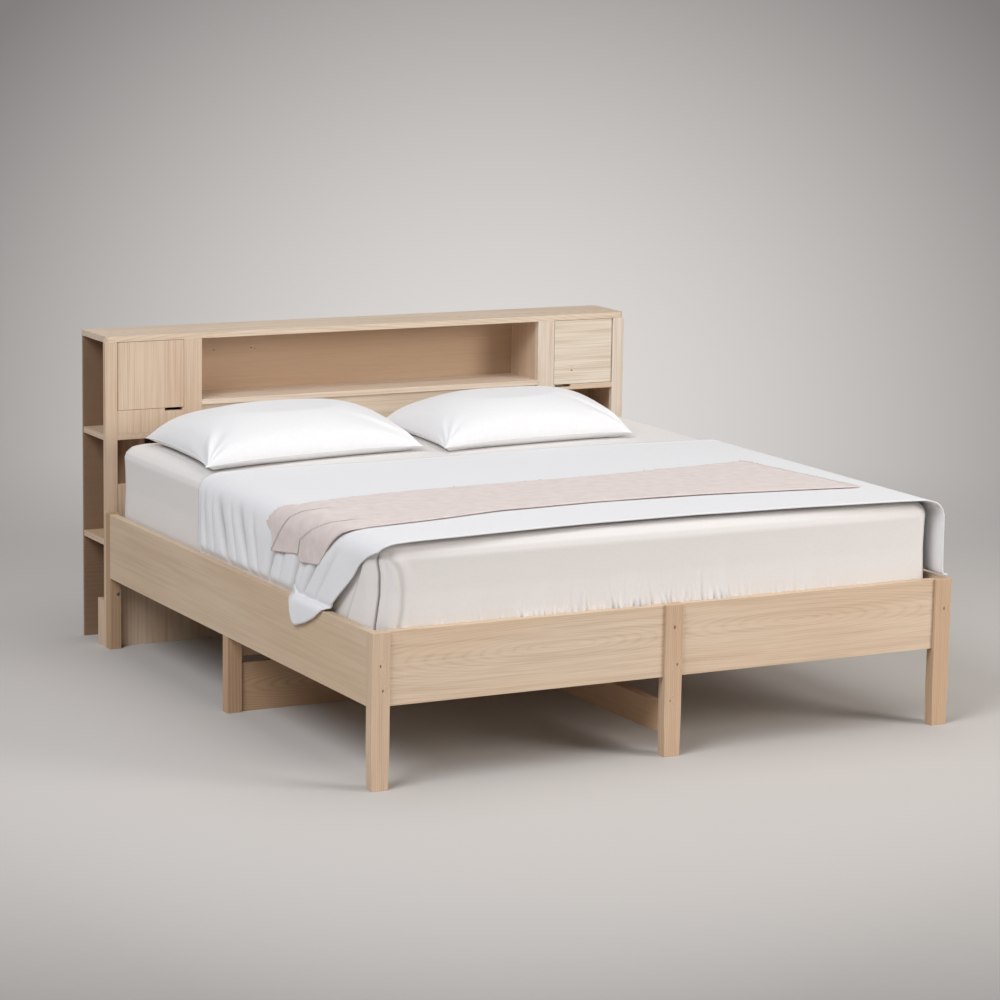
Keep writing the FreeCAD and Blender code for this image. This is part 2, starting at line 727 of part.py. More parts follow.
def rounded_rectangle(inset, z, corner):
    """Wire of the mattress outline, drawn in by an inset."""
    x = mattress_x - inset
    y0 = mattress_y0 + inset
    y1 = mattress_y1 - inset
    radius = max(corner - inset, 12.0)
    edges = []
    diagonal = radius * (1 - math.sqrt(0.5))
    corners = [(x, y0, 1, -1), (x, y1, 1, 1), (-x, y1, -1, 1), (-x, y0, -1, -1)]
    arcs = []
    for index, (cx, cy, sx, sy) in enumerate(corners):
        on_x = Vector(cx, cy - sy * radius, z)
        on_y = Vector(cx - sx * radius, cy, z)
        middle = Vector(cx - sx * diagonal, cy - sy * diagonal, z)
        start, end = (on_y, on_x) if index % 2 == 0 else (on_x, on_y)
        arcs.append((start, middle, end))
    for index, (start, middle, end) in enumerate(arcs):
        edges.append(Part.Arc(start, middle, end).toShape())
        next_start = arcs[(index + 1) % len(arcs)][0]
        edges.append(Part.LineSegment(end, next_start).toShape())
    return Part.Wire(edges)


# Side profile of the mattress: inset from its widest outline, height as a share of the whole
mattress_profile = [
    (16.0, 0.0), (3.0, 0.03), (0.0, 0.1), (4.0, 0.48), (0.0, 0.83),
    (6.0, 0.893), (24.0, 0.95), (62.0, 0.98), (420.0, 1.0),
]


def mattress_shape(offset, start_level):
    """Mattress outline grown by an offset, from a level of its profile up."""
    wires = []
    for inset, share in mattress_profile[start_level:]:
        z = mattress_z0 + share * mattress_height
        lift = offset * share
        wires.append(rounded_rectangle(inset - offset, z + lift, mattress_corner))
    return Part.makeLoft(wires, True, True)


def make_mattress():
    """Mattress with drawn-in sides and a low crown, and the fitted sheet over it."""
    pieces["mattress"] = mattress_shape(0, 0)
    inner = mattress_shape(bedding_gap, 1)
    outer = mattress_shape(bedding_gap + sheet_thickness, 1)
    pieces["fitted_sheet"] = outer.cut(inner)


sheet_offset = bedding_gap + sheet_thickness
cover_inner_x = -(mattress_x + sheet_offset + cover_side_gap)


def wavy_section(points, fold_depth, direction, thickness):
    """Closed wire of a cloth section: a row of shallow arcs and the same row, one thickness out."""
    shifted = [point + direction * thickness for point in points]
    edges = []
    for row in (points, list(reversed(shifted))):
        for index in range(len(row) - 1):
            start = row[index]
            end = row[index + 1]
            sign = 1 if index % 2 == 0 else -1
            if row is not points and (len(row) - 1) % 2 == 0:
                sign = -sign
            middle = (start + end) * 0.5 + direction * (fold_depth * sign)
            edges.append(Part.Arc(start, middle, end).toShape())
        other = shifted[-1] if row is points else points[0]
        edges.append(Part.LineSegment(row[-1], other).toShape())
    return Part.Wire(edges)


def cloth(stations, fold_count, thickness):
    """Cloth lofted through stations: (x, z, normal x, normal z, front y, back y, fold depth)."""
    wires = []
    for x, z, normal_x, normal_z, y0, y1, depth in stations:
        step = (y1 - y0) / fold_count
        points = [Vector(x, y0 + step * index, z) for index in range(fold_count + 1)]
        wires.append(wavy_section(points, depth, Vector(normal_x, 0, normal_z).normalize(), thickness))
    return Part.makeLoft(wires, True, True)


cover_z = crown_top + sheet_offset + cover_lift


def top_path():
    """Cover stations over the left top edge up to the middle: x, z and the outward normal."""
    height = mattress_height
    return [
        (-mattress_x + 14, cover_z - 0.060 * height, -0.8, 0.6),
        (-mattress_x + 40, cover_z - 0.024 * height, -0.35, 0.94),
        (-mattress_x + 110, cover_z - 0.012 * height, -0.05, 1.0),
        (-mattress_x + 430, cover_z, 0.0, 1.0),
        (0.0, cover_z, 0.0, 1.0),
    ]


def mirrored_stations(stations):
    """Stations from the left end to the middle, and on to the right end."""
    left_side = reversed(stations[:-1])
    right = [(-x, z, -nx, nz, y0, y1, depth) for x, z, nx, nz, y0, y1, depth in left_side]
    return stations + right


def make_cover():
    """Light cover: tucked at the rails behind, hanging over them near the foot."""
    flap_y1 = foot_y + cover_flap_end
    head_edge = head_y - cover_head_gap
    edge = foot_y + cover_foot_edge
    rail_top = leg_height
    outside = left - flap_gap - flap_fold_depth
    flap = flap_fold_depth
    folds = cover_fold_depth
    inside = cover_inner_x
    over = [
        (outside, cover_flap_bottom, -1.0, 0.0, flap_y1 - 65, flap_y1 - 15, flap),
        (outside, cover_flap_bottom + 36, -1.0, 0.0, edge + 316, flap_y1, flap),
        (outside, rail_top + 1.5, -1.0, 0.0, edge + 214, flap_y1, flap),
        (left + 2, rail_top + 3 + flap, -0.8, 0.6, edge + 196, flap_y1, flap),
        (inside - 3, rail_top + 26, -0.95, 0.3, edge + 176, flap_y1, flap),
        (inside, rail_top + 102, -1.0, 0.0, edge + 82, flap_y1, flap),
        (inside, rail_top + 174, -1.0, 0.0, edge - 4, flap_y1, 1.0),
        (inside + 3, rail_top + 210, -0.97, 0.24, edge - 44, flap_y1, flat_fold),
    ]
    tucked = [
        (inside - folds + 1, rail_top + 2, -1.0, 0.0, flap_y1, head_edge, folds),
        (inside, rail_top + 102, -1.0, 0.0, flap_y1, head_edge, folds * 0.7),
        (inside, rail_top + 174, -1.0, 0.0, flap_y1, head_edge, 1.5),
        (inside + 3, rail_top + 210, -0.97, 0.24, flap_y1, head_edge, flat_fold),
    ]
    over_edges = (edge - 52, edge - 54, edge - 56, edge - 20, edge)
    for (x, z, nx, nz), y0 in zip(top_path(), over_edges):
        over.append((x, z, nx, nz, y0, flap_y1, flat_fold))
        tucked.append((x, z, nx, nz, flap_y1, head_edge, flat_fold))
    flap_folds = 6
    tuck_folds = 2 * round((head_edge - flap_y1) / cover_fold_width / 2)
    front_part = cloth(mirrored_stations(over), flap_folds, cover_thickness)
    rear_part = cloth(mirrored_stations(tucked), tuck_folds, cover_thickness)
    pieces["bed_cover"] = front_part.fuse(rear_part)


def make_throw():
    """Thin throw across the cover, hanging down on the left and ending at the right edge."""
    rise = cover_thickness + bedding_gap + 2 * flat_fold
    side_x = cover_inner_x - cover_thickness - cover_fold_depth * 0.7 - throw_fold_depth - bedding_gap
    z_edge = cover_z - 0.06 * mattress_height
    stations = [
        (side_x, leg_height + 104, -1.0, 0.0, foot_y + 560, foot_y + 750, throw_fold_depth),
        (side_x, leg_height + 126, -1.0, 0.0, foot_y + 400, foot_y + 752, throw_fold_depth),
        (side_x, leg_height + 176, -1.0, 0.0, foot_y + 300, foot_y + 740, throw_fold_depth),
        (side_x + 2, leg_height + 216, -0.97, 0.24, foot_y + 240, foot_y + 724, 1.0),
        (-mattress_x + 14 - rise * 0.8 - 2, z_edge + rise * 0.6 + 2, -0.7, 0.7, foot_y + 205, foot_y + 690,
         flat_fold),
        (-mattress_x + 38 - rise * 0.35, z_edge + 10 + rise + 1, -0.35, 0.94, foot_y + 193, foot_y + 655,
         flat_fold),
    ]
    top = cover_z + rise
    edge_drop = 0.012 * mattress_height
    stations += [
        (-mattress_x + 110, top - edge_drop, -0.05, 1.0, foot_y + 215, foot_y + 662, flat_fold),
        (-mattress_x + 430, top, 0.0, 1.0, foot_y + 310, foot_y + 735, flat_fold),
        (-60.0, top, 0.0, 1.0, foot_y + 350, foot_y + 742, flat_fold),
        (mattress_x - 680, top, 0.0, 1.0, foot_y + 342, foot_y + 755, flat_fold),
        (mattress_x - 430, top, 0.0, 1.0, foot_y + 316, foot_y + 790, flat_fold),
        (mattress_x - 150, top - edge_drop * 0.8, 0.02, 1.0, foot_y + 285, foot_y + 815, flat_fold),
    ]
    pieces["throw"] = cloth(stations, 6, throw_thickness)


def pillow_outline(corners, z, spread, draw):
    """Four arcs between corners that are pulled towards the middle by a share."""
    middle = sum(corners, Vector(0, 0, 0)) * (1 / len(corners))
    points = [middle + (corner - middle) * spread for corner in corners]
    points = [Vector(point.x, point.y, z) for point in points]
    edges = []
    for index, start in enumerate(points):
        end = points[(index + 1) % len(points)]
        centre = Vector(middle.x, middle.y, z)
        chord_middle = (start + end) * 0.5
        inward = (centre - chord_middle).normalize()
        edges.append(Part.Arc(start, chord_middle + inward * draw, end).toShape())
    return Part.Wire(edges)


# Pillow levels: height as a share of the whole, spread of the corners, sag of the sides
pillow_levels = [
    (0.0, 0.74, -6.0), (0.08, 0.9, 4.0), (0.17, 0.97, 16.0), (0.24, 1.0, 24.0),
    (0.33, 0.95, 14.0), (0.5, 0.82, -4.0), (0.7, 0.64, -16.0), (0.88, 0.42, -18.0),
    (0.97, 0.22, -10.0), (1.0, 0.08, -3.0),
]


def make_pillow(name, corners):
    """Pillow with four ears, drawn-in sides and a crown."""
    z0 = crown_top + sheet_offset + bedding_gap
    wires = [pillow_outline(corners, z0 + share * pillow_height, spread, draw)
             for share, spread, draw in pillow_levels]
    pieces[name] = Part.makeLoft(wires, True, True)


def make_pillows():
    """Two pillows side by side, each turned a little."""
    side = -mattress_x
    make_pillow("pillow_left", [Vector(side + 17, head_y - 735, 0), Vector(-103, head_y - 610, 0),
                                Vector(-53, head_y - 60, 0), Vector(side + 62, head_y - 95, 0)])
    make_pillow("pillow_right", [Vector(-68, head_y - 680, 0), Vector(-side - 268, head_y - 620, 0),
                                 Vector(-side - 160, head_y - 80, 0), Vector(-28, head_y - 90, 0)])


make_foot_legs()
make_head_legs()
make_mid_legs()
make_side_rails()
make_foot_rails()
make_head_rail()
make_slat_supports()
make_cross_members()
make_slats()
make_brackets()
make_top_board()
make_face_frame()
make_carcass()
make_left_unit()
make_right_unit()
make_headboard_bolts()
add_headboard_dowels()
make_doors()
make_mattress()
make_cover()
make_throw()
make_pillows()
apply_drillings()
pieces["bracket_screws"] = Part.makeCompound(bracket_screws)
pieces["ledger_screws"] = Part.makeCompound(ledger_screws)
pieces["joint_dowels"] = Part.makeCompound(dowels)

for name, shape in pieces.items():
    if shape.ShapeType == "Compound" and len(shape.Solids) == 1:
        shape = shape.Solids[0]
    print(name, len(shape.Solids), shape.isValid(), round(shape.Volume / 1e6, 3))
    shape.exportStep("parts/" + name + ".step")
print("nodes", len(pieces))
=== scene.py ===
import json
import math
import random

import bmesh
import bpy
import numpy as np
from mathutils import Matrix, Vector


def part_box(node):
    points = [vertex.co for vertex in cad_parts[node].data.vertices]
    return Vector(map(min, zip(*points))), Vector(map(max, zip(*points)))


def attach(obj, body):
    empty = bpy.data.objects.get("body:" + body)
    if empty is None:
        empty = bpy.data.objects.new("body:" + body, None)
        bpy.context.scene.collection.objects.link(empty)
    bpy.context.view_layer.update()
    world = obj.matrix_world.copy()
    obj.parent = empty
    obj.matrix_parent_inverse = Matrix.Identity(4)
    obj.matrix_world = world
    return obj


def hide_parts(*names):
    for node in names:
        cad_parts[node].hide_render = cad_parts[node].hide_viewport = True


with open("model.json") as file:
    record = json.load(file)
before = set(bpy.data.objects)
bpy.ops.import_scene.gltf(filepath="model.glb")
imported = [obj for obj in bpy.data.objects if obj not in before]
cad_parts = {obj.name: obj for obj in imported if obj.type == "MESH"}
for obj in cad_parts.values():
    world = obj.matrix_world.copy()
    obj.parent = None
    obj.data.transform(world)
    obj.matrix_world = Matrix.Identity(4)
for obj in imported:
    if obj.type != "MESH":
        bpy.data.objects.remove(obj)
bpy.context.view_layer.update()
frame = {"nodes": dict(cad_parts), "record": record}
print("frame loaded:", len(frame["nodes"]), "nodes")


# Small helpers.

def hexToLinear(hexColour):
    # sRGB hex to Blender's linear colour
    channels = [int(hexColour[i:i + 2], 16) / 255 for i in (1, 3, 5)]
    linear = [c / 12.92 if c <= 0.04045 else ((c + 0.055) / 1.055) ** 2.4 for c in channels]
    return (*linear, 1.0)


def addNode(tree, kind, inputs=None, **settings):
    # one node with its settings; an input that is a socket is linked, any other is set
    node = tree.nodes.new(kind)
    for name, value in settings.items():
        setattr(node, name, value)
    for name, value in (inputs or {}).items():
        socket = node.inputs[name]
        if isinstance(value, bpy.types.NodeSocket):
            tree.links.new(value, socket)
        else:
            socket.default_value = value
    return node


def newMaterial(name):
    material = bpy.data.materials.new(name)
    material.use_nodes = True
    material.node_tree.nodes.clear()
    return material, material.node_tree


def addObject(name, data):
    piece = bpy.data.objects.new(name, data)
    bpy.context.scene.collection.objects.link(piece)
    return piece


def meshPiece(name, vertices, faces, material, uvs=None, smooth=True, creaseShades=None):
    # a new object at the origin from points and faces, with one UV pair per vertex where given
    mesh = bpy.data.meshes.new(name)
    mesh.from_pydata([tuple(v) for v in vertices], [], faces)
    if uvs is not None:
        layer = mesh.uv_layers.new(name="weave")
        vertexOfLoop = np.zeros(len(mesh.loops), dtype=np.int32)
        mesh.loops.foreach_get("vertex_index", vertexOfLoop)
        layer.data.foreach_set("uv", np.asarray(uvs, dtype=np.float32)[vertexOfLoop].ravel())
    # painted shade for folds, kept on each point for the cloth materials
    if creaseShades is not None:
        kept = mesh.attributes.new("creaseShade", "FLOAT", "POINT")
        kept.data.foreach_set("value", np.clip(creaseShades, 0, 1).astype(np.float32))
    if smooth:
        mesh.polygons.foreach_set("use_smooth", [True] * len(mesh.polygons))
    piece = addObject(name, mesh)
    mesh.materials.append(material)
    mesh.update()
    return piece


def flatCut(piece):
    # the size of the cloth before it was laid, read from its weave coordinates, which are metres
    layer = piece.data.uv_layers["weave"].data
    at = np.empty(len(layer) * 2, dtype=np.float32)
    layer.foreach_get("uv", at)
    at = at.reshape(-1, 2).astype(float)
    size = at.max(axis=0) - at.min(axis=0)
    area = 0.0
    for face in piece.data.polygons:
        corner = at[list(face.loop_indices)]
        ahead = np.roll(corner, -1, axis=0)
        area += abs((corner[:, 0] * ahead[:, 1] - ahead[:, 0] * corner[:, 1]).sum()) / 2
    return (float(size[0]), float(size[1])), float(min(area, size[0] * size[1]))


def madeMesh(piece):
    # a new mesh of what the piece's modifiers or its curve make
    graph = bpy.context.evaluated_depsgraph_get()
    return bpy.data.meshes.new_from_object(piece.evaluated_get(graph))


def settle(piece):
    # turns the modifiers' result into the piece's plain mesh
    result = madeMesh(piece)
    piece.modifiers.clear()
    piece.data = result


def thicken(piece, thickness):
    # gives a sheet its thickness, on its outer side
    solid = piece.modifiers.new("thickness", "SOLIDIFY")
    solid.thickness = thickness
    solid.offset = 1.0
    settle(piece)


# Camera, light and floor.

cameraLook = {
    "place": (-5.093, -9.610, 2.530),
    "yaw": 27.98, "pitch": 10.09, "roll": 0.94,   # degrees: right of +Y, down, clockwise
    "lens": 121.46, "sensor": 36.0,
}


def makeCamera(look):
    yaw, pitch, roll = (math.radians(look[key]) for key in ("yaw", "pitch", "roll"))
    ahead = Vector((math.sin(yaw) * math.cos(pitch), math.cos(yaw) * math.cos(pitch), -math.sin(pitch)))
    right = Vector((math.cos(yaw), -math.sin(yaw), 0.0))
    up = right.cross(ahead)
    rolledRight = right * math.cos(roll) + up * math.sin(roll)
    rolledUp = up * math.cos(roll) - right * math.sin(roll)
    data = bpy.data.cameras.new("camera")
    data.lens = look["lens"]
    data.sensor_width = look["sensor"]
    data.clip_end = 200.0
    camera = addObject("camera", data)
    turn = Matrix((rolledRight, rolledUp, -ahead)).transposed()
    camera.matrix_world = Matrix.Translation(look["place"]) @ turn.to_4x4()
    bpy.context.scene.camera = camera


studioLook = {
    "keyPlace": (5.0, -6.2, 3.4), "keyAim": (0.0, -0.2, 0.4), "keySize": 3.6, "keyPower": 330.0,
    "keyColour": "#FFFAF5", "topColour": "#FFFFFF", "fillColour": "#F8FAFF",
    "topPlace": (0.6, -0.2, 5.5), "topAim": (0.2, 0.0, 0.0), "topSize": 5.0, "topPower": 78.0,
    "fillPlace": (-6.4, -3.8, 6.7), "fillAim": (0.0, 0.0, 0.5), "fillSize": 5.0, "fillPower": 505.0,
    "ambient": "#F4F2F0", "ambientStrength": 0.26,
    "backNear": "#DEDAD8", "backFar": "#2C2A28", "backShare": 0.72,
    # the painted pool of light on the backdrop: its direction, and how wide and high it is (as direction
    # lengths)
    "poolYaw": 28.05, "poolHeight": -0.156, "poolWidth": 0.1975, "poolTall": 0.177,
    "poolFall": 1.55,
    "floor": "#CCC8C4", "floorSize": 60.0, "floorFade": (1.75, 4.9),
}


def makeLamp(name, place, aim, size, power, colour):
    data = bpy.data.lights.new(name, "AREA")
    data.color = hexToLinear(colour)[:3]
    data.shape = "DISK"
    data.size = size
    data.energy = power
    lamp = addObject(name, data)
    direction = Vector(aim) - Vector(place)
    turn = direction.to_track_quat("-Z", "Y").to_matrix().to_4x4()
    lamp.matrix_world = Matrix.Translation(place) @ turn


def backdropColour(tree, look):
    # a painted pool of light on the backdrop behind the bed, darker round it
    yaw = math.radians(look["poolYaw"])
    direction = addNode(tree, "ShaderNodeTexCoord").outputs["Generated"]
    side = addNode(tree, "ShaderNodeVectorMath", {0: direction, 1: (math.cos(yaw), -math.sin(yaw), 0.0)},
                   operation="DOT_PRODUCT").outputs["Value"]
    side = addNode(tree, "ShaderNodeMath", {0: side, 1: 1 / look["poolWidth"]},
                   operation="MULTIPLY").outputs[0]
    high = addNode(tree, "ShaderNodeSeparateXYZ", {0: direction}).outputs["Z"]
    high = addNode(tree, "ShaderNodeMath", {0: high, 1: look["poolHeight"]}, operation="SUBTRACT").outputs[0]
    high = addNode(tree, "ShaderNodeMath", {0: high, 1: 1 / look["poolTall"]},
                   operation="MULTIPLY").outputs[0]
    place = addNode(tree, "ShaderNodeCombineXYZ", {0: side, 1: high}).outputs[0]
    reach = addNode(tree, "ShaderNodeVectorMath", {0: place}, operation="LENGTH").outputs["Value"]
    fall = addNode(tree, "ShaderNodeMapRange", {"Value": reach, "From Min": 0.0,
                                                "From Max": look["poolFall"]},
                   interpolation_type="SMOOTHSTEP").outputs["Result"]
    fall = addNode(tree, "ShaderNodeMath", {0: fall, 1: look["backShare"]}, operation="MINIMUM").outputs[0]
    return addNode(tree, "ShaderNodeMix", {0: fall, 6: hexToLinear(look["backNear"]),
                                           7: hexToLinear(look["backFar"])}, data_type="RGBA").outputs[2]


def makeStudio(look):
    for name in ("key", "top", "fill"):
        makeLamp(name, look[name + "Place"], look[name + "Aim"], look[name + "Size"], look[name + "Power"],
                 look[name + "Colour"])
    world = bpy.data.worlds.new("studio")
    bpy.context.scene.world = world
    world.use_nodes = True
    tree = world.node_tree
    tree.nodes.clear()
    light = addNode(tree, "ShaderNodeBackground", {"Color": hexToLinear(look["ambient"]),
                                                   "Strength": look["ambientStrength"]})
    seen = addNode(tree, "ShaderNodeBackground", {"Color": backdropColour(tree, look), "Strength": 1.0})
    path = addNode(tree, "ShaderNodeLightPath")
    mix = addNode(tree, "ShaderNodeMixShader", {0: path.outputs["Is Camera Ray"], 1: light.outputs[0],
                                                2: seen.outputs[0]})
    addNode(tree, "ShaderNodeOutputWorld", {"Surface": mix.outputs[0]})


def floorMaterial(look):
    # pale matt studio floor that fades into the backdrop away from the bed
    material, tree = newMaterial("studioFloor")
    place = addNode(tree, "ShaderNodeTexCoord").outputs["Object"]
    distance = addNode(tree, "ShaderNodeVectorMath", {0: place}, operation="LENGTH").outputs["Value"]
    near, far = look["floorFade"]
    fade = addNode(tree, "ShaderNodeMapRange", {"Value": distance, "From Min": near, "From Max": far},
                   interpolation_type="SMOOTHSTEP").outputs["Result"]
    matt = addNode(tree, "ShaderNodeBsdfDiffuse", {"Color": hexToLinear(look["floor"])})
    clear = addNode(tree, "ShaderNodeBsdfTransparent")
    mix = addNode(tree, "ShaderNodeMixShader", {0: fade, 1: matt.outputs[0], 2: clear.outputs[0]})
    addNode(tree, "ShaderNodeOutputMaterial", {"Surface": mix.outputs[0]})
    return material


def makeFloor(look):
    half = look["floorSize"]
    corners = [(-half, -half, 0), (half, -half, 0), (half, half, 0), (-half, half, 0)]
    floor = meshPiece("floor", corners, [(0, 1, 2, 3)], floorMaterial(look), smooth=False)


makeCamera(cameraLook)
makeStudio(studioLook)
makeFloor(studioLook)
bpy.context.scene.view_settings.view_transform = "Standard"
print("camera, lamps and floor made")


# Wood.

# Ash boards, planed and finished with a matt clear oil: pale, straight fibres with darker growth
# lines, and pointed "flames" where a board is cut close to the middle of the log.
ashLook = {
    "pale": "#DCC6AE", "late": "#A97F59", "early": "#EBDCC8", "blush": "#D3B698", "knot": "#7A5538",
    # shade: the colour of the painted shade deep inside an open cubby
    "shade": "#5E4026",
    "earlyShare": 0.34, "paintedShadeShare": 0.66, "roughness": 0.56,
    "ringWidth": 0.0068,      # metres between growth lines on the face
    "wander": 0.020, "ripple": 0.0014, "heartRipple": 0.0075,
    "flameStretch": 8.5,
    "knotBend": 0.014,        # how far a knot pushes the growth lines aside
    "lateShare": 0.42,        # how strongly a growth line shows
    "fibreWidth": 0.0016,     # drawn three times coarser than real fibres, so that they show
    "fibreLength": 0.09,
}


def ashMaterial(name, grain="X", face="Z", centre=(0, 0, 0), flame=None, knots=(), tone=None, figure=1.0,
                shade=None, seed=0):
    # grain: the axis along the fibres; face: the axis that the broad side looks along
    # flame: (place along the grain, place across) of the heart of a flame figure
    # figure: how strongly the growth lines show on this board
    # shade: along the grain, from where to where the front face takes painted shade, deep inside a cubby
    look = ashLook
    material, tree = newMaterial(name)
    place = addNode(tree, "ShaderNodeTexCoord").outputs["Object"]
    split = addNode(tree, "ShaderNodeSeparateXYZ", {0: place}).outputs
    across = [axis for axis in "XYZ" if axis not in (grain, face)][0]
    order = ["XYZ".index(axis) for axis in (grain, across, face)]
    along, side, depth = (
        addNode(tree, "ShaderNodeMath", {0: split[i], 1: centre[i]}, operation="SUBTRACT").outputs[0]
        for i in order)
    board = addNode(tree, "ShaderNodeCombineXYZ", {0: along, 1: side, 2: depth}).outputs[0]
    seedOffset = (seed * 7.31, seed * 3.17, seed * 5.71)

    # noise, long along the grain: the growth lines' slow wander and ripple, the fibres and pores,
    # and the streaks and blotches of colour
    fibreScale = (1 / look["fibreLength"], 1 / look["fibreWidth"], 1 / look["fibreWidth"])
    fields = []
    for scale, inputs in (((1.5, 7.0, 7.0), {"Scale": 1.0, "Detail": 2.0}),
                          ((9.0, 55.0, 55.0), {"Scale": 1.0, "Detail": 2.0}),
                          (fibreScale, {"Scale": 0.5, "Detail": 4.0, "Roughness": 0.6}),
                          ((2.2, 75.0, 75.0), {"Scale": 1.0, "Detail": 3.0, "Roughness": 0.6}),
                          ((1.2, 4.5, 4.5), {"Scale": 1.0, "Detail": 2.0})):
        space = addNode(tree, "ShaderNodeMapping", {"Vector": board, "Location": seedOffset, "Scale": scale})
        inputs["Vector"] = space.outputs[0]
        fields.append(addNode(tree, "ShaderNodeTexNoise", inputs).outputs["Fac"])
    wander, ripple, fibre, streak, blotch = fields

    # distance across the growth lines: bowed, or round the heart of a flame
    rippleDepth = look["ripple"]
    if flame:
        a = addNode(tree, "ShaderNodeMath", {0: along, 1: flame[0]}, operation="SUBTRACT").outputs[0]
        a = addNode(tree, "ShaderNodeMath", {0: a, 1: 1 / look["flameStretch"]},
                    operation="MULTIPLY").outputs[0]
        b = addNode(tree, "ShaderNodeMath", {0: side, 1: flame[1]}, operation="SUBTRACT").outputs[0]
        offset = addNode(tree, "ShaderNodeCombineXYZ", {0: a, 1: b}).outputs[0]
        ring = addNode(tree, "ShaderNodeVectorMath", {0: offset}, operation="LENGTH").outputs["Value"]
        # the figure is livelier at its heart
        rippleDepth = addNode(tree, "ShaderNodeMapRange", {
            "Value": ring, "From Min": 0.0, "From Max": 0.05, "To Min": look["heartRipple"],
            "To Max": rippleDepth}).outputs[0]
    else:
        bow = addNode(tree, "ShaderNodeMath", {0: side, 1: side}, operation="MULTIPLY").outputs[0]
        ring = addNode(tree, "ShaderNodeMath", {0: bow, 1: 0.8, 2: side}, operation="MULTIPLY_ADD").outputs[0]
    drift = addNode(tree, "ShaderNodeMath", {0: depth, 1: 0.6}, operation="MULTIPLY").outputs[0]
    ring = addNode(tree, "ShaderNodeMath", {0: ring, 1: drift}, operation="ADD").outputs[0]
    for field, amount in ((wander, look["wander"]), (ripple, rippleDepth)):
        ring = addNode(tree, "ShaderNodeMath", {0: field, 1: amount, 2: ring},
                       operation="MULTIPLY_ADD").outputs[0]

    # knots: dark, with the growth lines pushed aside round them
    knotDark = None
    for knotAlong, knotSide, radius in knots:
        gap = addNode(tree, "ShaderNodeVectorMath", {0: board, 1: (knotAlong, knotSide, 0.0)},
                      operation="SUBTRACT").outputs[0]
        flat = addNode(tree, "ShaderNodeVectorMath", {0: gap, 1: (0.6, 1.0, 0.0)},
                       operation="MULTIPLY").outputs[0]
        reach = addNode(tree, "ShaderNodeVectorMath", {0: flat}, operation="LENGTH").outputs["Value"]
        bend, dark = (
            addNode(tree, "ShaderNodeMapRange", {"Value": reach, "From Min": low, "From Max": high,
                                                 "To Min": start, "To Max": 0.0},
                    interpolation_type="SMOOTHSTEP").outputs[0]
            for low, high, start in ((0.0, radius * 6, look["knotBend"]), (radius * 0.35, radius, 1.0)))
        ring = addNode(tree, "ShaderNodeMath", {0: ring, 1: bend}, operation="ADD").outputs[0]
        if knotDark is None:
            knotDark = dark
        else:
            knotDark = addNode(tree, "ShaderNodeMath", {0: knotDark, 1: dark}, operation="MAXIMUM").outputs[0]

    # one growth line for each ring width, sharp on one side and soft on the other
    phase = addNode(tree, "ShaderNodeMath", {0: ring, 1: 1 / look["ringWidth"]},
                    operation="MULTIPLY").outputs[0]
    saw = addNode(tree, "ShaderNodeMath", {0: phase}, operation="FRACT").outputs[0]
    line = addNode(tree, "ShaderNodeValToRGB", {"Fac": saw})
    stops = line.color_ramp.elements
    stops[0].position, stops[0].color = 0.0, (1, 1, 1, 1)
    stops[1].position, stops[1].color = 1.0, (1, 1, 1, 1)
    for where, value in ((0.12, 0.35), (0.55, 0.0), (0.86, 0.45)):
        stop = stops.new(where)
        stop.color = (value, value, value, 1)

    # how much of each shows in the colour
    patchy, fibreAmount, streakAmount, blotchAmount, shine = (
        addNode(tree, "ShaderNodeMapRange", {"Value": field, "From Min": low, "From Max": high,
                                             "To Min": start, "To Max": end}).outputs[0]
        for field, low, high, start, end in (
            (streak, 0.35, 0.7, 0.25, 1.0), (fibre, 0.45, 0.8, 0.0, 0.22), (streak, 0.42, 0.72, 0.0, 0.30),
            (blotch, 0.35, 0.65, 0.0, 0.75),
            (streak, 0.3, 0.7, look["roughness"] - 0.06, look["roughness"] + 0.08)))
    early = addNode(tree, "ShaderNodeMath", {0: 1.0, 1: line.outputs[0]}, operation="SUBTRACT").outputs[0]
    parts = []
    for part, share in ((early, look["earlyShare"]), (line.outputs[0], look["lateShare"] * figure)):
        for factor in (patchy, share):
            part = addNode(tree, "ShaderNodeMath", {0: part, 1: factor}, operation="MULTIPLY").outputs[0]
        parts.append(part)
    earlyAmount, lateAmount = parts
    pale, blush = tone or (look["pale"], look["blush"])
    layers = [(blotchAmount, blush), (earlyAmount, look["early"]), (streakAmount, look["late"]),
              (fibreAmount, look["late"]), (lateAmount, look["late"])]
    if knotDark is not None:
        layers.append((knotDark, look["knot"]))
    # painted shade: the front face darkens along the grain deep inside the open cubby
    if shade:
        inside = addNode(tree, "ShaderNodeMapRange", {"Value": along, "From Min": shade[0],
                                                      "From Max": shade[1], "To Min": 0.0,
                                                      "To Max": look["paintedShadeShare"]}).outputs[0]
        front = addNode(tree, "ShaderNodeMath", {0: depth, 1: 0.0}, operation="LESS_THAN").outputs[0]
        inside = addNode(tree, "ShaderNodeMath", {0: inside, 1: front}, operation="MULTIPLY").outputs[0]
        layers.append((inside, look["shade"]))
    colour = hexToLinear(pale)
    for share, layer in layers:
        colour = addNode(tree, "ShaderNodeMix", {0: share, 6: colour, 7: hexToLinear(layer)},
                         data_type="RGBA").outputs[2]
    height = addNode(tree, "ShaderNodeMath", {0: fibre, 1: lateAmount}, operation="SUBTRACT").outputs[0]
    bump = addNode(tree, "ShaderNodeBump", {"Height": height, "Strength": 0.25,
                                            "Distance": 0.0006}).outputs[0]
    wood = addNode(tree, "ShaderNodeBsdfPrincipled", {"Base Color": colour, "Roughness": shine,
                                                      "IOR": 1.5, "Normal": bump})
    addNode(tree, "ShaderNodeOutputMaterial", {"Surface": wood.outputs[0]})
    return material


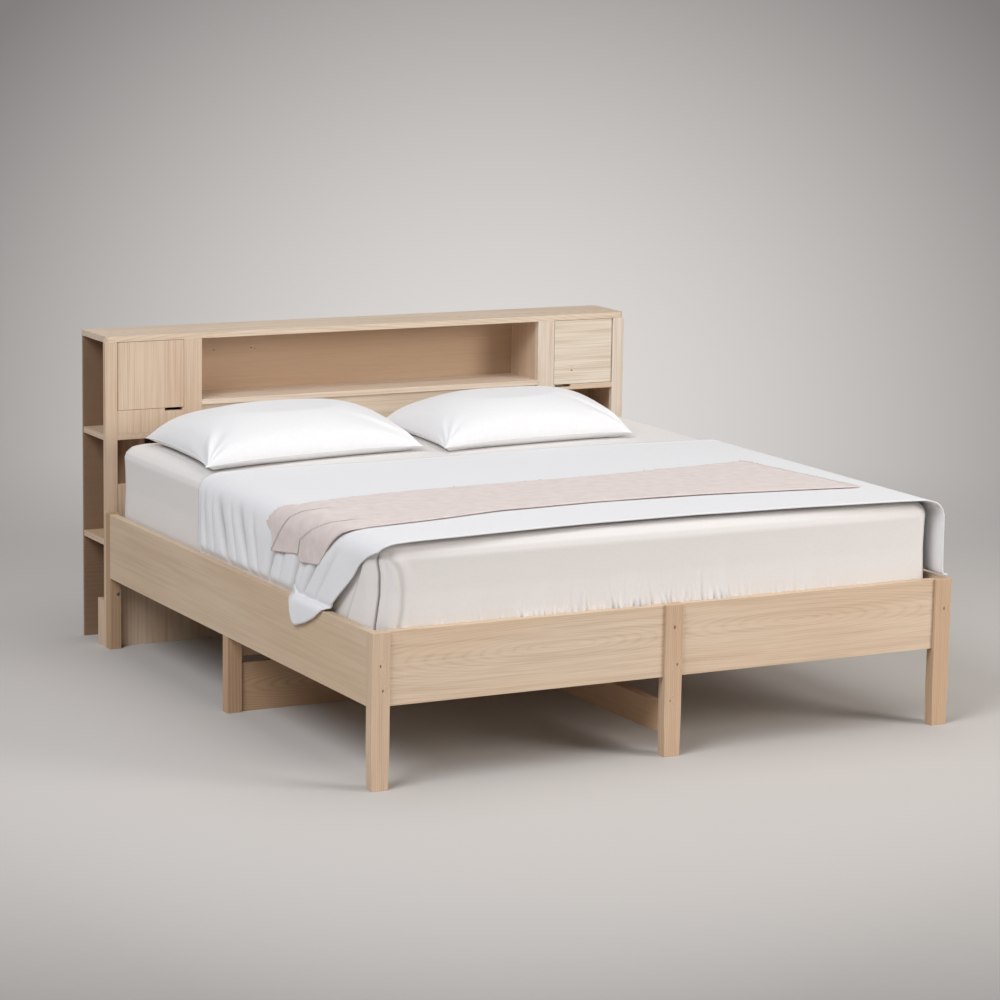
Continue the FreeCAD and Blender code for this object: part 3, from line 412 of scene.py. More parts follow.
# Each board: fibres along, broad side, and what the photo shows on it.
# flame and knots are in metres from the middle of the board, along the fibres and across them.
warm = ("#C9A482", "#BE9672")
sun = ("#D3B596", "#C8A684")
# deep: a tone darkened as painted shade, for the dividers inside the open left column
deep = ("#8E6645", "#835C3C")
bright = ("#E1CCB4", "#D9BD9E")
# painted shade: a darker tone for the partition inside the open left column
paintedShadeTone = ("#A67B57", "#98704C")
# brown: a tone darkened as painted shade, for the legs and cross pieces in shade under the bed
brown = ("#BD9874", "#AE8964")
light = ("#E6D5C0", "#E0CAB0")
chalk = ("#E9DED1", "#E3D6C4")
boardLook = {
    "foot_leg_left": ("Z", "Y", {"knots": [(0.135, -0.002, 0.004), (0.062, 0.006, 0.004)], "figure": 0.6}),
    "foot_leg_right": ("Z", "Y", {"knots": [(0.14, 0.004, 0.0045)], "tone": sun}),
    "foot_leg_centre": ("Z", "Y", {
        "knots": [(0.165, 0.0, 0.005), (0.05, 0.012, 0.004), (-0.06, -0.01, 0.003)], "tone": sun}),
    "head_leg_left": ("Z", "X", {"tone": brown}),
    "head_leg_right": ("Z", "X", {"tone": sun}),
    "mid_leg_left": ("Z", "X", {"tone": brown}),
    "mid_leg_right": ("Z", "X", {"tone": sun}),
    # painted shade: the left rail's tone is darker for its side away from the lamps
    "side_rail_left": ("Y", "X", {"figure": 0.32, "tone": ("#D9C3A8", "#CDB394")}),
    "side_rail_right": ("Y", "X", {"flame": (0.25, 0.01)}),
    "foot_rail_left": ("X", "Y", {"flame": (0.10, 0.020), "figure": 0.62, "tone": bright}),
    "foot_rail_right": ("X", "Y", {"flame": (-0.04, 0.028), "figure": 0.62, "tone": bright}),
    "head_rail": ("X", "Y", {}),
    "ledger_left": ("Y", "X", {}),
    "ledger_right": ("Y", "X", {}),
    "centre_beam": ("Y", "X", {}),
    "mid_cross_board": ("X", "Y", {"flame": (-0.6, 0.0), "tone": brown, "figure": 0.7}),
    "mid_cross_beam": ("X", "Y", {"tone": brown}),
    "centre_stretcher": ("Y", "X", {"tone": warm}),
    "slats": ("X", "Z", {}),
    "top_board": ("X", "Z", {"flame": (-0.35, -0.03), "tone": light}),
    "back_panel": ("X", "Y", {
        # painted shade on the back panel's front face behind the open left column
        "tone": ("#C9AB8D", "#BC9A79"), "figure": 0.55, "shade": (-0.80, -0.84),
        "knots": [(-0.52, 0.45, 0.003), (-0.38, 0.452, 0.003), (-0.365, 0.449, 0.002)]}),
    "outer_stile_left": ("Z", "Y", {}),
    "outer_stile_right": ("Z", "Y", {"tone": chalk}),
    "inner_stile_left": ("Z", "Y", {}),
    "inner_stile_right": ("Z", "Y", {"tone": chalk}),
    "partition_left": ("Z", "X", {"tone": paintedShadeTone, "figure": 0.8}),
    "partition_right": ("Z", "X", {"flame": (0.39, 0.0)}),
    "end_panel_right": ("Z", "X", {}),
    "niche_shelf": ("X", "Z", {"tone": ("#ECE0D0", "#E6D6C2")}),
    "headrest_panel": ("X", "Y", {"tone": ("#E8DAC7", "#E2D0B8")}),
    "lower_front_panel": ("Z", "Y", {}),
    "apron_left": ("Z", "Y", {"flame": (0.0, 0.0)}),
    "side_shelf_upper": ("Y", "Z", {}),
    "side_shelf_lower": ("Y", "Z", {}),
    "divider_upper": ("Z", "X", {"tone": deep}),
    "divider_lower": ("Z", "X", {"tone": deep}),
    "foot_block_left": ("Z", "X", {}),
    "compartment_floor_right": ("X", "Z", {}),
    "cubby_floor_right": ("X", "Z", {}),
    "apron_right": ("X", "Y", {}),
    "door_left": ("Z", "Y", {}),
    "door_right": ("X", "Y", {"knots": [(-0.048, -0.066, 0.0035)], "tone": ("#EAE2D3", "#E4DAC6")}),
}
easedEdge = 0.0014        # metres taken off each sharp edge by sanding
bodyOfNode = {node: body for body, nodes in frame["record"]["behaviour"]["bodies"].items() for node in nodes}


def easedBoard(node, material):
    # a copy of the board with its outer edges sanded round
    source = frame["nodes"][node]
    mesh = source.data.copy()
    work = bmesh.new()
    work.from_mesh(mesh)
    bmesh.ops.remove_doubles(work, verts=work.verts, dist=1e-5)
    bmesh.ops.dissolve_limit(work, angle_limit=math.radians(0.5), verts=work.verts, edges=work.edges)
    low, high = (np.array(corner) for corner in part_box(node))

    def outside(point):
        return [i for i in range(3) if min(abs(point[i] - low[i]), abs(point[i] - high[i])) < 1e-4]

    edges = []
    for edge in work.edges:
        shared = set(outside(edge.verts[0].co)) & set(outside(edge.verts[1].co))
        if len(shared) >= 2 and edge.calc_length() > 0.012 and len(edge.link_faces) == 2:
            edges.append(edge)
    bmesh.ops.bevel(work, geom=edges, offset=easedEdge, segments=2, profile=0.6, affect="EDGES",
                    clamp_overlap=True)
    bmesh.ops.recalc_face_normals(work, faces=work.faces)
    work.to_mesh(mesh)
    work.free()
    mesh.polygons.foreach_set("use_smooth", [False] * len(mesh.polygons))
    mesh.materials.clear()
    mesh.materials.append(material)
    piece = addObject(node + "_board", mesh)
    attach(piece, bodyOfNode[node])
    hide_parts(node)


def makeBoards():
    for index, (node, (grain, face, extras)) in enumerate(boardLook.items()):
        low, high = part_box(node)
        centre = tuple((a + b) / 2 for a, b in zip(low, high))
        material = ashMaterial("oiledAsh_" + node, grain, face, centre, seed=index + 1, **extras)
        easedBoard(node, material)


makeBoards()
print("boards made:", len(boardLook))

# Fittings.

zincLook = {"plate": "#C6C9CB", "haze": "#A9ADB2", "roughness": 0.36, "brushPitch": 0.0006}
brassLook = {"bright": "#D2AE66", "worn": "#B08C4A", "roughness": 0.30}
acetalLook = {"white": "#E4E1D8", "shade": "#D6D2C6", "roughness": 0.42}
beechLook = {"pale": "#D9B993", "fleck": "#A97E57", "fluteWidth": 0.0011, "roughness": 0.6}


def zincMaterial():
    # steel with a bright zinc coat: grey-white and slightly clouded, with fine marks from the barrel
    look = zincLook
    material, tree = newMaterial("zincPlatedSteel")
    place = addNode(tree, "ShaderNodeTexCoord").outputs["Object"]
    cloud = addNode(tree, "ShaderNodeTexNoise", {"Vector": place, "Scale": 120.0,
                                                 "Detail": 4.0}).outputs["Fac"]
    fine = addNode(tree, "ShaderNodeTexNoise", {"Vector": place, "Scale": 1 / look["brushPitch"],
                                                "Detail": 2.0}).outputs["Fac"]
    colour = addNode(tree, "ShaderNodeMix", {0: cloud, 6: hexToLinear(look["plate"]),
                                             7: hexToLinear(look["haze"])}, data_type="RGBA").outputs[2]
    rough = addNode(tree, "ShaderNodeMapRange", {"Value": cloud, "From Min": 0.3, "From Max": 0.7,
                                                 "To Min": look["roughness"] - 0.08,
                                                 "To Max": look["roughness"] + 0.10}).outputs[0]
    bump = addNode(tree, "ShaderNodeBump", {"Height": fine, "Strength": 0.15, "Distance": 0.0001}).outputs[0]
    metal = addNode(tree, "ShaderNodeBsdfPrincipled", {"Base Color": colour, "Metallic": 1.0,
                                                       "Roughness": rough, "Normal": bump})
    addNode(tree, "ShaderNodeOutputMaterial", {"Surface": metal.outputs[0]})
    return material


def brassMaterial():
    # turned brass: warm yellow, rings from the lathe, duller where it has been handled
    look = brassLook
    material, tree = newMaterial("turnedBrass")
    place = addNode(tree, "ShaderNodeTexCoord").outputs["Object"]
    cloud = addNode(tree, "ShaderNodeTexNoise", {"Vector": place, "Scale": 160.0,
                                                 "Detail": 3.0}).outputs["Fac"]
    rings = addNode(tree, "ShaderNodeTexWave", {"Vector": place, "Scale": 520.0, "Distortion": 0.4},
                    bands_direction="Z").outputs["Fac"]
    colour = addNode(tree, "ShaderNodeMix", {0: cloud, 6: hexToLinear(look["bright"]),
                                             7: hexToLinear(look["worn"])}, data_type="RGBA").outputs[2]
    bump = addNode(tree, "ShaderNodeBump", {"Height": rings, "Strength": 0.12, "Distance": 0.0001}).outputs[0]
    metal = addNode(tree, "ShaderNodeBsdfPrincipled", {"Base Color": colour, "Metallic": 1.0,
                                                       "Roughness": look["roughness"], "Normal": bump})
    addNode(tree, "ShaderNodeOutputMaterial", {"Surface": metal.outputs[0]})
    return material


def acetalMaterial():
    # moulded acetal: off-white, satin, with the faint grain of the mould
    look = acetalLook
    material, tree = newMaterial("mouldedAcetal")
    place = addNode(tree, "ShaderNodeTexCoord").outputs["Object"]
    cloud = addNode(tree, "ShaderNodeTexNoise", {"Vector": place, "Scale": 60.0,
                                                 "Detail": 2.0}).outputs["Fac"]
    grit = addNode(tree, "ShaderNodeTexNoise", {"Vector": place, "Scale": 2600.0}).outputs["Fac"]
    colour = addNode(tree, "ShaderNodeMix", {0: cloud, 6: hexToLinear(look["white"]),
                                             7: hexToLinear(look["shade"])}, data_type="RGBA").outputs[2]
    bump = addNode(tree, "ShaderNodeBump", {"Height": grit, "Strength": 0.1, "Distance": 0.0001}).outputs[0]
    plastic = addNode(tree, "ShaderNodeBsdfPrincipled", {"Base Color": colour, "Roughness": look["roughness"],
                                                         "IOR": 1.48, "Normal": bump})
    addNode(tree, "ShaderNodeOutputMaterial", {"Surface": plastic.outputs[0]})
    return material


def beechMaterial():
    # turned beech dowel: pinkish tan with short brown flecks, compressed flutes round it
    look = beechLook
    material, tree = newMaterial("beechDowel")
    place = addNode(tree, "ShaderNodeTexCoord").outputs["Object"]
    flecks = addNode(tree, "ShaderNodeTexNoise", {"Vector": place, "Scale": 700.0,
                                                  "Detail": 3.0}).outputs["Fac"]
    amount = addNode(tree, "ShaderNodeMapRange", {"Value": flecks, "From Min": 0.52, "From Max": 0.72,
                                                  "To Min": 0.0, "To Max": 0.7}).outputs[0]
    colour = addNode(tree, "ShaderNodeMix", {0: amount, 6: hexToLinear(look["pale"]),
                                             7: hexToLinear(look["fleck"])}, data_type="RGBA").outputs[2]
    flutes = addNode(tree, "ShaderNodeTexNoise", {"Vector": place,
                                                  "Scale": 1 / look["fluteWidth"]}).outputs["Fac"]
    bump = addNode(tree, "ShaderNodeBump", {"Height": flutes, "Strength": 0.3, "Distance": 0.0002}).outputs[0]
    wood = addNode(tree, "ShaderNodeBsdfPrincipled", {"Base Color": colour, "Roughness": look["roughness"],
                                                      "IOR": 1.5, "Normal": bump})
    addNode(tree, "ShaderNodeOutputMaterial", {"Surface": wood.outputs[0]})
    return material


fittings = {
    "zinc": ["corner_brackets", "beam_hanger", "bracket_screws", "ledger_screws", "headboard_bolts",
             "door_pivot_pins", "strike_left", "strike_right"],
    "brass": ["pivot_bushes_left", "pivot_bushes_right"],
    "acetal": ["door_catches"],
    "beech": ["joint_dowels"],
}


def coatFittings():
    materials = {"zinc": zincMaterial(), "brass": brassMaterial(), "acetal": acetalMaterial(),
                 "beech": beechMaterial()}
    for kind, nodes in fittings.items():
        for node in nodes:
            for slot in frame["nodes"][node].material_slots:
                slot.material = materials[kind]


coatFittings()
print("fittings coated")

# Cloth materials.

# fold: the colour of the painted shade at the bottom of folds
linenLook = {"white": "#ECECEE", "cream": "#EAE6E3", "pillow": "#F0F0F1", "ticking": "#DAD6CE",
             "slub": "#CFCCC8", "fold": "#77726D", "roughness": 0.86, "threadPitch": 0.0009}
knitLook = {"pale": "#E4D7D2", "deep": "#D3C5BF", "fold": "#857A74",
            "ribPitch": 0.0042, "roughness": 0.93}
waveScale = 0.314             # one band of a wave texture for each unit of the space it is given


def linenMaterial(name, colour):
    # washed cotton: matt, with a fine plain weave and a faint slub
    look = linenLook
    material, tree = newMaterial(name)
    uv = addNode(tree, "ShaderNodeUVMap", uv_map="weave").outputs[0]
    pitch = 1 / look["threadPitch"]
    space = addNode(tree, "ShaderNodeMapping", {"Vector": uv, "Scale": (pitch, pitch, pitch)}).outputs[0]
    warp = addNode(tree, "ShaderNodeTexWave", {"Vector": space, "Scale": waveScale}, bands_direction="X")
    weft = addNode(tree, "ShaderNodeTexWave", {"Vector": space, "Scale": waveScale}, bands_direction="Y")
    weave = addNode(tree, "ShaderNodeMath", {0: warp.outputs["Fac"], 1: weft.outputs["Fac"]},
                    operation="MAXIMUM").outputs[0]
    slub = addNode(tree, "ShaderNodeTexNoise", {"Vector": uv, "Scale": 90.0, "Detail": 3.0}).outputs["Fac"]
    shade = addNode(tree, "ShaderNodeMapRange", {"Value": slub, "From Min": 0.3, "From Max": 0.7,
                                                 "To Min": 0.0, "To Max": 0.10}).outputs[0]
    base = addNode(tree, "ShaderNodeMix", {0: shade, 6: hexToLinear(colour),
                                           7: hexToLinear(look["slub"])}, data_type="RGBA").outputs[2]
    # painted shade: little light reaches the bottom of a fold
    creaseShade = addNode(tree, "ShaderNodeAttribute", attribute_name="creaseShade").outputs["Fac"]
    base = addNode(tree, "ShaderNodeMix", {0: creaseShade, 6: base, 7: hexToLinear(look["fold"])},
                   data_type="RGBA").outputs[2]
    bump = addNode(tree, "ShaderNodeBump", {"Height": weave, "Strength": 0.12, "Distance": 0.0002}).outputs[0]
    cloth = addNode(tree, "ShaderNodeBsdfPrincipled", {"Base Color": base, "Roughness": look["roughness"],
                                                       "Sheen Weight": 0.08, "Sheen Roughness": 0.5,
                                                       "Normal": bump})
    addNode(tree, "ShaderNodeOutputMaterial", {"Surface": cloth.outputs[0]})
    return material


def knitMaterial():
    # soft brushed knit: fine ribs across the throw, blurred by the nap
    look = knitLook
    material, tree = newMaterial("blushKnit")
    uv = addNode(tree, "ShaderNodeUVMap", uv_map="weave").outputs[0]
    wobble = addNode(tree, "ShaderNodeTexNoise", {"Vector": uv, "Scale": 26.0, "Detail": 3.0}).outputs["Fac"]
    moved = addNode(tree, "ShaderNodeVectorMath", {0: uv, 1: (0.0015, 0.0015, 0.0)},
                    operation="ADD").outputs[0]
    pitch = 1 / look["ribPitch"]
    space = addNode(tree, "ShaderNodeMapping", {"Vector": moved, "Scale": (pitch, pitch, pitch)}).outputs[0]
    rib = addNode(tree, "ShaderNodeTexWave", {"Vector": space, "Scale": waveScale, "Distortion": 1.2,
                                              "Detail": 2.0}, bands_direction="Y").outputs["Fac"]
    nap = addNode(tree, "ShaderNodeTexNoise", {"Vector": uv, "Scale": 420.0, "Detail": 3.0}).outputs["Fac"]
    height = addNode(tree, "ShaderNodeMath", {0: nap, 1: 0.5, 2: rib}, operation="MULTIPLY_ADD").outputs[0]
    amount = addNode(tree, "ShaderNodeMapRange", {"Value": wobble, "From Min": 0.3, "From Max": 0.7,
                                                  "To Min": 0.0, "To Max": 0.7}).outputs[0]
    colour = addNode(tree, "ShaderNodeMix", {0: amount, 6: hexToLinear(look["pale"]),
                                             7: hexToLinear(look["deep"])}, data_type="RGBA").outputs[2]
    # painted shade: little light reaches the bottom of a fold
    creaseShade = addNode(tree, "ShaderNodeAttribute", attribute_name="creaseShade").outputs["Fac"]
    colour = addNode(tree, "ShaderNodeMix", {0: creaseShade, 6: colour, 7: hexToLinear(look["fold"])},
                     data_type="RGBA").outputs[2]
    bump = addNode(tree, "ShaderNodeBump", {"Height": height, "Strength": 0.35, "Distance": 0.0008})
    knit = addNode(tree, "ShaderNodeBsdfPrincipled", {"Base Color": colour, "Roughness": look["roughness"],
                                                      "Sheen Weight": 0.25, "Normal": bump.outputs[0]})
    addNode(tree, "ShaderNodeOutputMaterial", {"Surface": knit.outputs[0]})
    return material


# Curves and grids.

def smoothRow(points, step):
    # a smooth line through points, as evenly spaced points, with their distances along it
    points = np.asarray(points, dtype=float)
    padded = np.vstack([2 * points[0] - points[1], points, 2 * points[-1] - points[-2]])
    t = np.linspace(0, 1, 24, endpoint=False)[:, None]
    parts = []
    for a, b, c, d in zip(padded, padded[1:], padded[2:], padded[3:]):
        parts.append(0.5 * (2 * b + (c - a) * t + (2 * a - 5 * b + 4 * c - d) * t ** 2
                            + (3 * b - a - 3 * c + d) * t ** 3))
    line = np.vstack(parts + [points[-1:]])
    length = np.concatenate([[0], np.cumsum(np.linalg.norm(np.diff(line, axis=0), axis=1))])
    even = np.linspace(0, length[-1], max(2, int(length[-1] / step)))
    return np.column_stack([np.interp(even, length, line[:, i]) for i in range(line.shape[1])]), even


def gridFaces(rows, columns, closed=False):
    # quads of a grid whose points are stored row by row; closed joins the last column to the first
    faces = []
    span = columns if closed else columns - 1
    for r in range(rows - 1):
        for c in range(span):
            d = (c + 1) % columns
            faces.append((r * columns + c, r * columns + d, (r + 1) * columns + d, (r + 1) * columns + c))
    return faces


def ridge(distance, width):
    return np.exp(-(distance / width) ** 2)


def smoothStep(value, low, high):
    t = np.clip((value - low) / (high - low), 0, 1)
    return t * t * (3 - 2 * t)


def softNoise(u, v, seed, scale, count=10):
    # a smooth random field: a sum of waves in random directions
    rng = np.random.default_rng(seed)
    field = np.zeros(np.broadcast(u, v).shape)
    for _ in range(count):
        angle, phase = rng.uniform(0, 2 * np.pi, 2)
        size = scale * rng.uniform(0.7, 1.6)
        field += np.sin((u * np.cos(angle) + v * np.sin(angle)) * 2 * np.pi / size + phase)
    return field / count


# Mattress and fitted sheet.

mattressShape = {
    "halfWidth": 0.965, "foot": -1.108, "head": 0.922, "bottom": 0.428, "height": 0.282, "corner": 0.090,
    # (share of the height, inset from the widest outline)
    "profile": [(0.0, 0.016), (0.03, 0.003), (0.10, 0.0), (0.48, 0.004), (0.70, 0.002), (0.83, 0.0),
                (0.893, 0.006), (0.95, 0.024), (0.98, 0.062), (0.992, 0.20), (1.0, 0.42)],
}
railTop = 0.466


def outlineAt(shape, distances):
    # points and outward directions on the outline, by the distance from the middle of the
    # front-left corner, towards the right
    a, r = shape["halfWidth"], shape["corner"]
    front, back = shape["foot"] + r, shape["head"] - r
    corners = [(-a + r, front, 225, 270), (a - r, front, 270, 360), (a - r, back, 0, 90),
               (-a + r, back, 90, 180), (-a + r, front, 180, 225)]
    points, turns = [], []
    for cx, cy, start, end in corners:
        for angle in np.radians(np.linspace(start, end, 46)):
            points.append((cx + r * np.cos(angle), cy + r * np.sin(angle)))
            turns.append((np.cos(angle), np.sin(angle)))
    points, turns = np.array(points), np.array(turns)
    length = np.concatenate([[0], np.cumsum(np.linalg.norm(np.diff(points, axis=0), axis=1))])
    where = np.mod(distances, length[-1])
    place, turn = (np.column_stack([np.interp(where, length, values[:, i]) for i in (0, 1)])
                   for values in (points, turns))
    return place, turn / np.linalg.norm(turn, axis=1)[:, None], length[-1]


def wrappedForm(shape, offset, distances, shares, folds=None):
    # rows of points up the side of the mattress and over its top
    place, turn, _ = outlineAt(shape, distances)
    profile = np.array(shape["profile"])

    def crownAt(inset):
        # share of the height on the top's flat crown
        return np.interp(inset, profile[-3:, 1], profile[-3:, 0])

    rows, uvs, creaseShades = [], [], []
    insets = np.interp(shares, profile[:, 0], profile[:, 1])
    levels = [(share, inset, None) for share, inset in zip(shares, insets)]
    levels += [(crownAt(inset), inset, None) for inset in (0.075, 0.09)]
    for reach in (0.05, 0.12, 0.2, 0.3, 0.4, 0.55, 0.7, 0.85, 0.97):
        levels.append((1.0, 0.09, reach))
    climbed = 0.0
    last = None
    for share, inset, reach in levels:
        z = shape["bottom"] + share * shape["height"] + offset * share
        row = place - turn * (inset - offset)
        if reach is not None:
            centre = np.column_stack([np.zeros(len(row)), np.clip(row[:, 1], -0.15, -0.04)])
            depth = 0.09 + reach * 0.875
            z = shape["bottom"] + offset + shape["height"] * crownAt(depth)
            row = row + (centre - row) * reach
            climbed = 0.35 + depth
        elif last is not None:
            climbed += math.hypot(z - last[0], inset - last[1])
        last = (z, inset)
        zs = np.full(len(row), z)
        creaseShade = np.zeros(len(row))
        if folds is not None and reach is None:
            push, creaseShade = folds(distances, zs)
            row = row + turn * push[:, None]
        creaseShades.append(creaseShade)
        rows.append(np.column_stack([row, zs]))
        uvs.append(np.column_stack([distances, np.full(len(row), climbed)]))
    return np.vstack(rows), np.vstack(uvs), len(rows), np.concatenate(creaseShades)


sheetLook = {
    "puckers": 112, "puckerSpan": (-0.82, 0.70), "puckerPeak": (-0.06, 0.36), "puckerDepth": 0.0052,
    "puckerWidth": (0.0050, 0.0095), "puckerRise": (0.012, 0.042), "puckerShade": 0.20,
    "pleatDepth": 0.0080, "leftDepth": 0.0065, "slitDepth": 0.0075,
}


def sheetFolds(distances, z):
    # outward push of the sheet: puckers where it is tucked in, and the folded corner at the front left
    look = sheetLook
    rng = random.Random(11)
    push = 0.0009 * softNoise(distances, z * 0.4, 3, 0.16)
    creaseShade = np.zeros_like(push)
    footStart = mattressShape["corner"] * math.pi / 4
    middle = footStart + mattressShape["halfWidth"] - mattressShape["corner"]
    above = np.maximum(z - railTop, -0.004)
    for _ in range(look["puckers"]):
        x = rng.gauss(*look["puckerPeak"])
        width = rng.uniform(*look["puckerWidth"])
        rise = rng.uniform(*look["puckerRise"]) * (1.0 if abs(x) < 0.35 else 0.6)
        lean = rng.uniform(-0.28, 0.28)
        depth = look["puckerDepth"] * rng.uniform(0.3, 1.0)
        if look["puckerSpan"][0] < x < look["puckerSpan"][1]:
            fade = np.exp(-(np.maximum(above, 0) / rise) ** 1.3)
            at = distances - middle - x - lean * above
            push += depth * fade * (ridge(at - width, width * 0.75) + ridge(at + width, width * 0.75))
            push -= 0.5 * depth * fade * ridge(at, width * 0.35)
            # painted shade in each pucker's valley
            creaseShade += look["puckerShade"] * (depth / look["puckerDepth"]) * fade * ridge(at, width * 0.42)
    for _ in range(30):
        x = rng.uniform(-0.85, 0.8)
        fade = np.exp(-(above / 0.10) ** 2)
        push += 0.0022 * rng.uniform(0, 1) * ridge(distances - middle - x, rng.uniform(0.012, 0.03)) * fade

    # corner: cloth gathered into one folded wedge, open as a slit along the pleat, its darkness partly
    # painted shade
    high = smoothStep(z, 0.694, 0.655)
    pleatAt = np.interp(z, [railTop, 0.56, 0.62, 0.66], [-0.016, -0.005, -0.004, -0.010])
    leftAt = np.interp(z, [railTop, 0.66], [-0.175, -0.070])
    softAt = np.interp(z, [railTop, 0.52, 0.575, 0.62, 0.65, 0.67],
                       [0.041, 0.050, 0.051, 0.044, 0.028, 0.010])
    leftPart = smoothStep(distances, leftAt - 0.004, leftAt + 0.010) * (distances < pleatAt)
    rightPart = (distances >= pleatAt) * smoothStep(distances, softAt + 0.012, softAt - 0.006)
    push += look["leftDepth"] * leftPart * high
    push += look["pleatDepth"] * rightPart * high
    push += 0.0035 * high * ridge(distances - pleatAt - 0.008, 0.006)
    push -= look["slitDepth"] * high * ridge(distances - pleatAt + 0.0040, 0.0030)
    # painted shade along the pleat's slit and the soft crease lines beside it
    creaseShade += 1.0 * high * ridge(distances - pleatAt + 0.0035, 0.0032)
    creaseShade += 0.28 * high * ridge(distances - softAt - 0.007, 0.008)
    creaseShade += 0.22 * high * ridge(distances - leftAt + 0.006, 0.007)
    push += 0.0040 * high * ridge(distances - softAt - 0.026, 0.016)
    push = np.maximum(push, -0.0012)
    return push, np.minimum(creaseShade, 1.0)


def makeFittedSheet(material):
    shape = mattressShape
    around = outlineAt(shape, np.zeros(1))[2]
    footEnd = shape["corner"] * math.pi / 4 + 2 * (shape["halfWidth"] - shape["corner"])
    distances = np.concatenate([np.arange(-0.25, 0.11, 0.0018), np.arange(0.11, footEnd, 0.0044),
                                np.arange(footEnd, around - 0.25, 0.022)])
    shares = np.concatenate([[0.03, 0.06, 0.09], np.arange(0.115, 0.40, 0.016), np.arange(0.41, 0.82, 0.028),
                             [0.83, 0.85, 0.87, 0.885, 0.9, 0.915, 0.93, 0.945, 0.96, 0.972, 0.98]])
    points, uvs, rows, creaseShades = wrappedForm(shape, 0.0017, distances, shares, sheetFolds)
    columns = len(distances)
    faces = gridFaces(rows, columns, closed=True)
    # a small cap closes the middle of the top
    faces.append(tuple(range((rows - 1) * columns, rows * columns)))
    piece = meshPiece("fittedSheet", points, faces, material, uvs, creaseShades=creaseShades)
    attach(piece, "bed")
    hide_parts("fitted_sheet")


def makeMattress(material):
    # rounded block in ticking, 2 mm inside the sheet
    shape = mattressShape
    around = outlineAt(shape, np.zeros(1))[2]
    distances = np.arange(0, around, 0.02)
    shares = np.array([0.0, 0.03, 0.06, 0.1, 0.2, 0.3, 0.4, 0.5, 0.6, 0.7, 0.8, 0.86, 0.9, 0.93, 0.96, 0.98])
    points, uvs, rows, _ = wrappedForm(shape, 0.0, distances, shares)
    columns = len(distances)
    faces = gridFaces(rows, columns, closed=True)
    faces.append(tuple(range((rows - 1) * columns, rows * columns)))
    faces.append(tuple(reversed(range(columns))))
    piece = meshPiece("mattressBlock", points, faces, material, uvs)
    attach(piece, "bed")
    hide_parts("mattress")


# Cover.

# Places are (x, z) across the bed, from the left end of the cloth up to the middle of the top.
# Along the bed, y in this part is measured from the front of the foot legs.
footToMiddle = 1.150
shoulderPlace = (-0.885, 0.7135)
coverPath = {
    "over": [(-1.0088, 0.360), (-1.0088, 0.400), (-1.0088, 0.440), (-1.0085, 0.458), (-1.0060, 0.4685),
             (-0.998, 0.4725), (-0.986, 0.4745), (-0.9795, 0.482), (-0.9775, 0.50), (-0.9765, 0.54)],
    "tucked": [(-0.9708, 0.430), (-0.9708, 0.452), (-0.9712, 0.463), (-0.9725, 0.470), (-0.9755, 0.479),
               (-0.9775, 0.50), (-0.9765, 0.54)],
    "rise": [(-0.9755, 0.60), (-0.9755, 0.645), (-0.974, 0.668), (-0.966, 0.688), (-0.952, 0.701),
             (-0.925, 0.7100), (-0.885, 0.7135)],
    "top": [(-0.80, 0.7145), (-0.60, 0.7155), (-0.40, 0.7162), (0.0, 0.7165)],
}
coverLook = {
    # lower boundary on the left: distance from the foot (Y), then x and z on the path
    "leftEnd": [(0.045, -0.966, 0.690), (0.095, -0.974, 0.668), (0.141, -0.9755, 0.639),
                (0.181, -0.9755, 0.597), (0.262, -0.9765, 0.527), (0.312, -0.980, 0.480),
                (0.330, -1.0060, 0.4685), (0.38, -1.0088, 0.437), (0.44, -1.0088, 0.411),
                (0.505, -1.0088, 0.391), (0.528, -1.0088, 0.394), (0.545, -1.0088, 0.420),
                (0.556, -1.0060, 0.4685), (0.566, -0.990, 0.474), (0.576, -0.9795, 0.482)],
    "rightEnd": [(0.016, 1.0, 0.4735), (0.29, 1.004, 0.4715), (0.36, 1.0088, 0.443), (0.44, 1.0088, 0.411),
                 (0.501, 1.0088, 0.393), (0.528, 1.0088, 0.397), (0.545, 1.0088, 0.425),
                 (0.556, 1.0060, 0.4685), (0.566, 0.990, 0.474), (0.576, 0.9795, 0.482)],
    "tuckFrom": 0.576, "headEdge": 1.316, "thickness": 0.0046,
    "front": [(-1.0, 0.045), (-0.970, 0.044), (-0.945, 0.034), (-0.90, 0.028), (-0.83, 0.034), (-0.70, 0.042),
              (-0.573, 0.052), (-0.225, 0.074), (0.119, 0.073), (0.465, 0.057), (0.70, 0.040), (0.86, 0.026),
              (0.97, 0.020), (1.01, 0.018)],
    # valleys on the left side: (Y and z at the top, Y and z at the bottom, width, depth)
    "valleys": [(1.272, 0.66, 1.236, 0.46, 0.013, 0.7), (1.205, 0.64, 1.165, 0.46, 0.010, 0.35),
                (1.125, 0.60, 1.062, 0.455, 0.022, 1.0), (1.045, 0.62, 0.985, 0.46, 0.011, 0.45),
                (0.972, 0.62, 0.899, 0.453, 0.019, 0.95), (0.870, 0.60, 0.825, 0.46, 0.014, 0.55),
                (0.716, 0.62, 0.775, 0.449, 0.019, 1.1), (0.640, 0.60, 0.690, 0.46, 0.012, 0.5),
                (0.525, 0.62, 0.600, 0.47, 0.016, 1.1), (0.470, 0.60, 0.560, 0.47, 0.010, 0.4),
                (0.405, 0.61, 0.520, 0.47, 0.014, 1.0), (0.31, 0.62, 0.425, 0.48, 0.016, 0.6)],
    "foldPush": 0.0125, "foldShade": 0.42, "hem": 0.022,
}


def coverLines():
    # the whole path, with distances along it, where the cloth hangs over the rail and where it is tucked in
    return {kind: smoothRow(coverPath[kind] + coverPath["rise"] + coverPath["top"], 0.001)
            for kind in ("over", "tucked")}


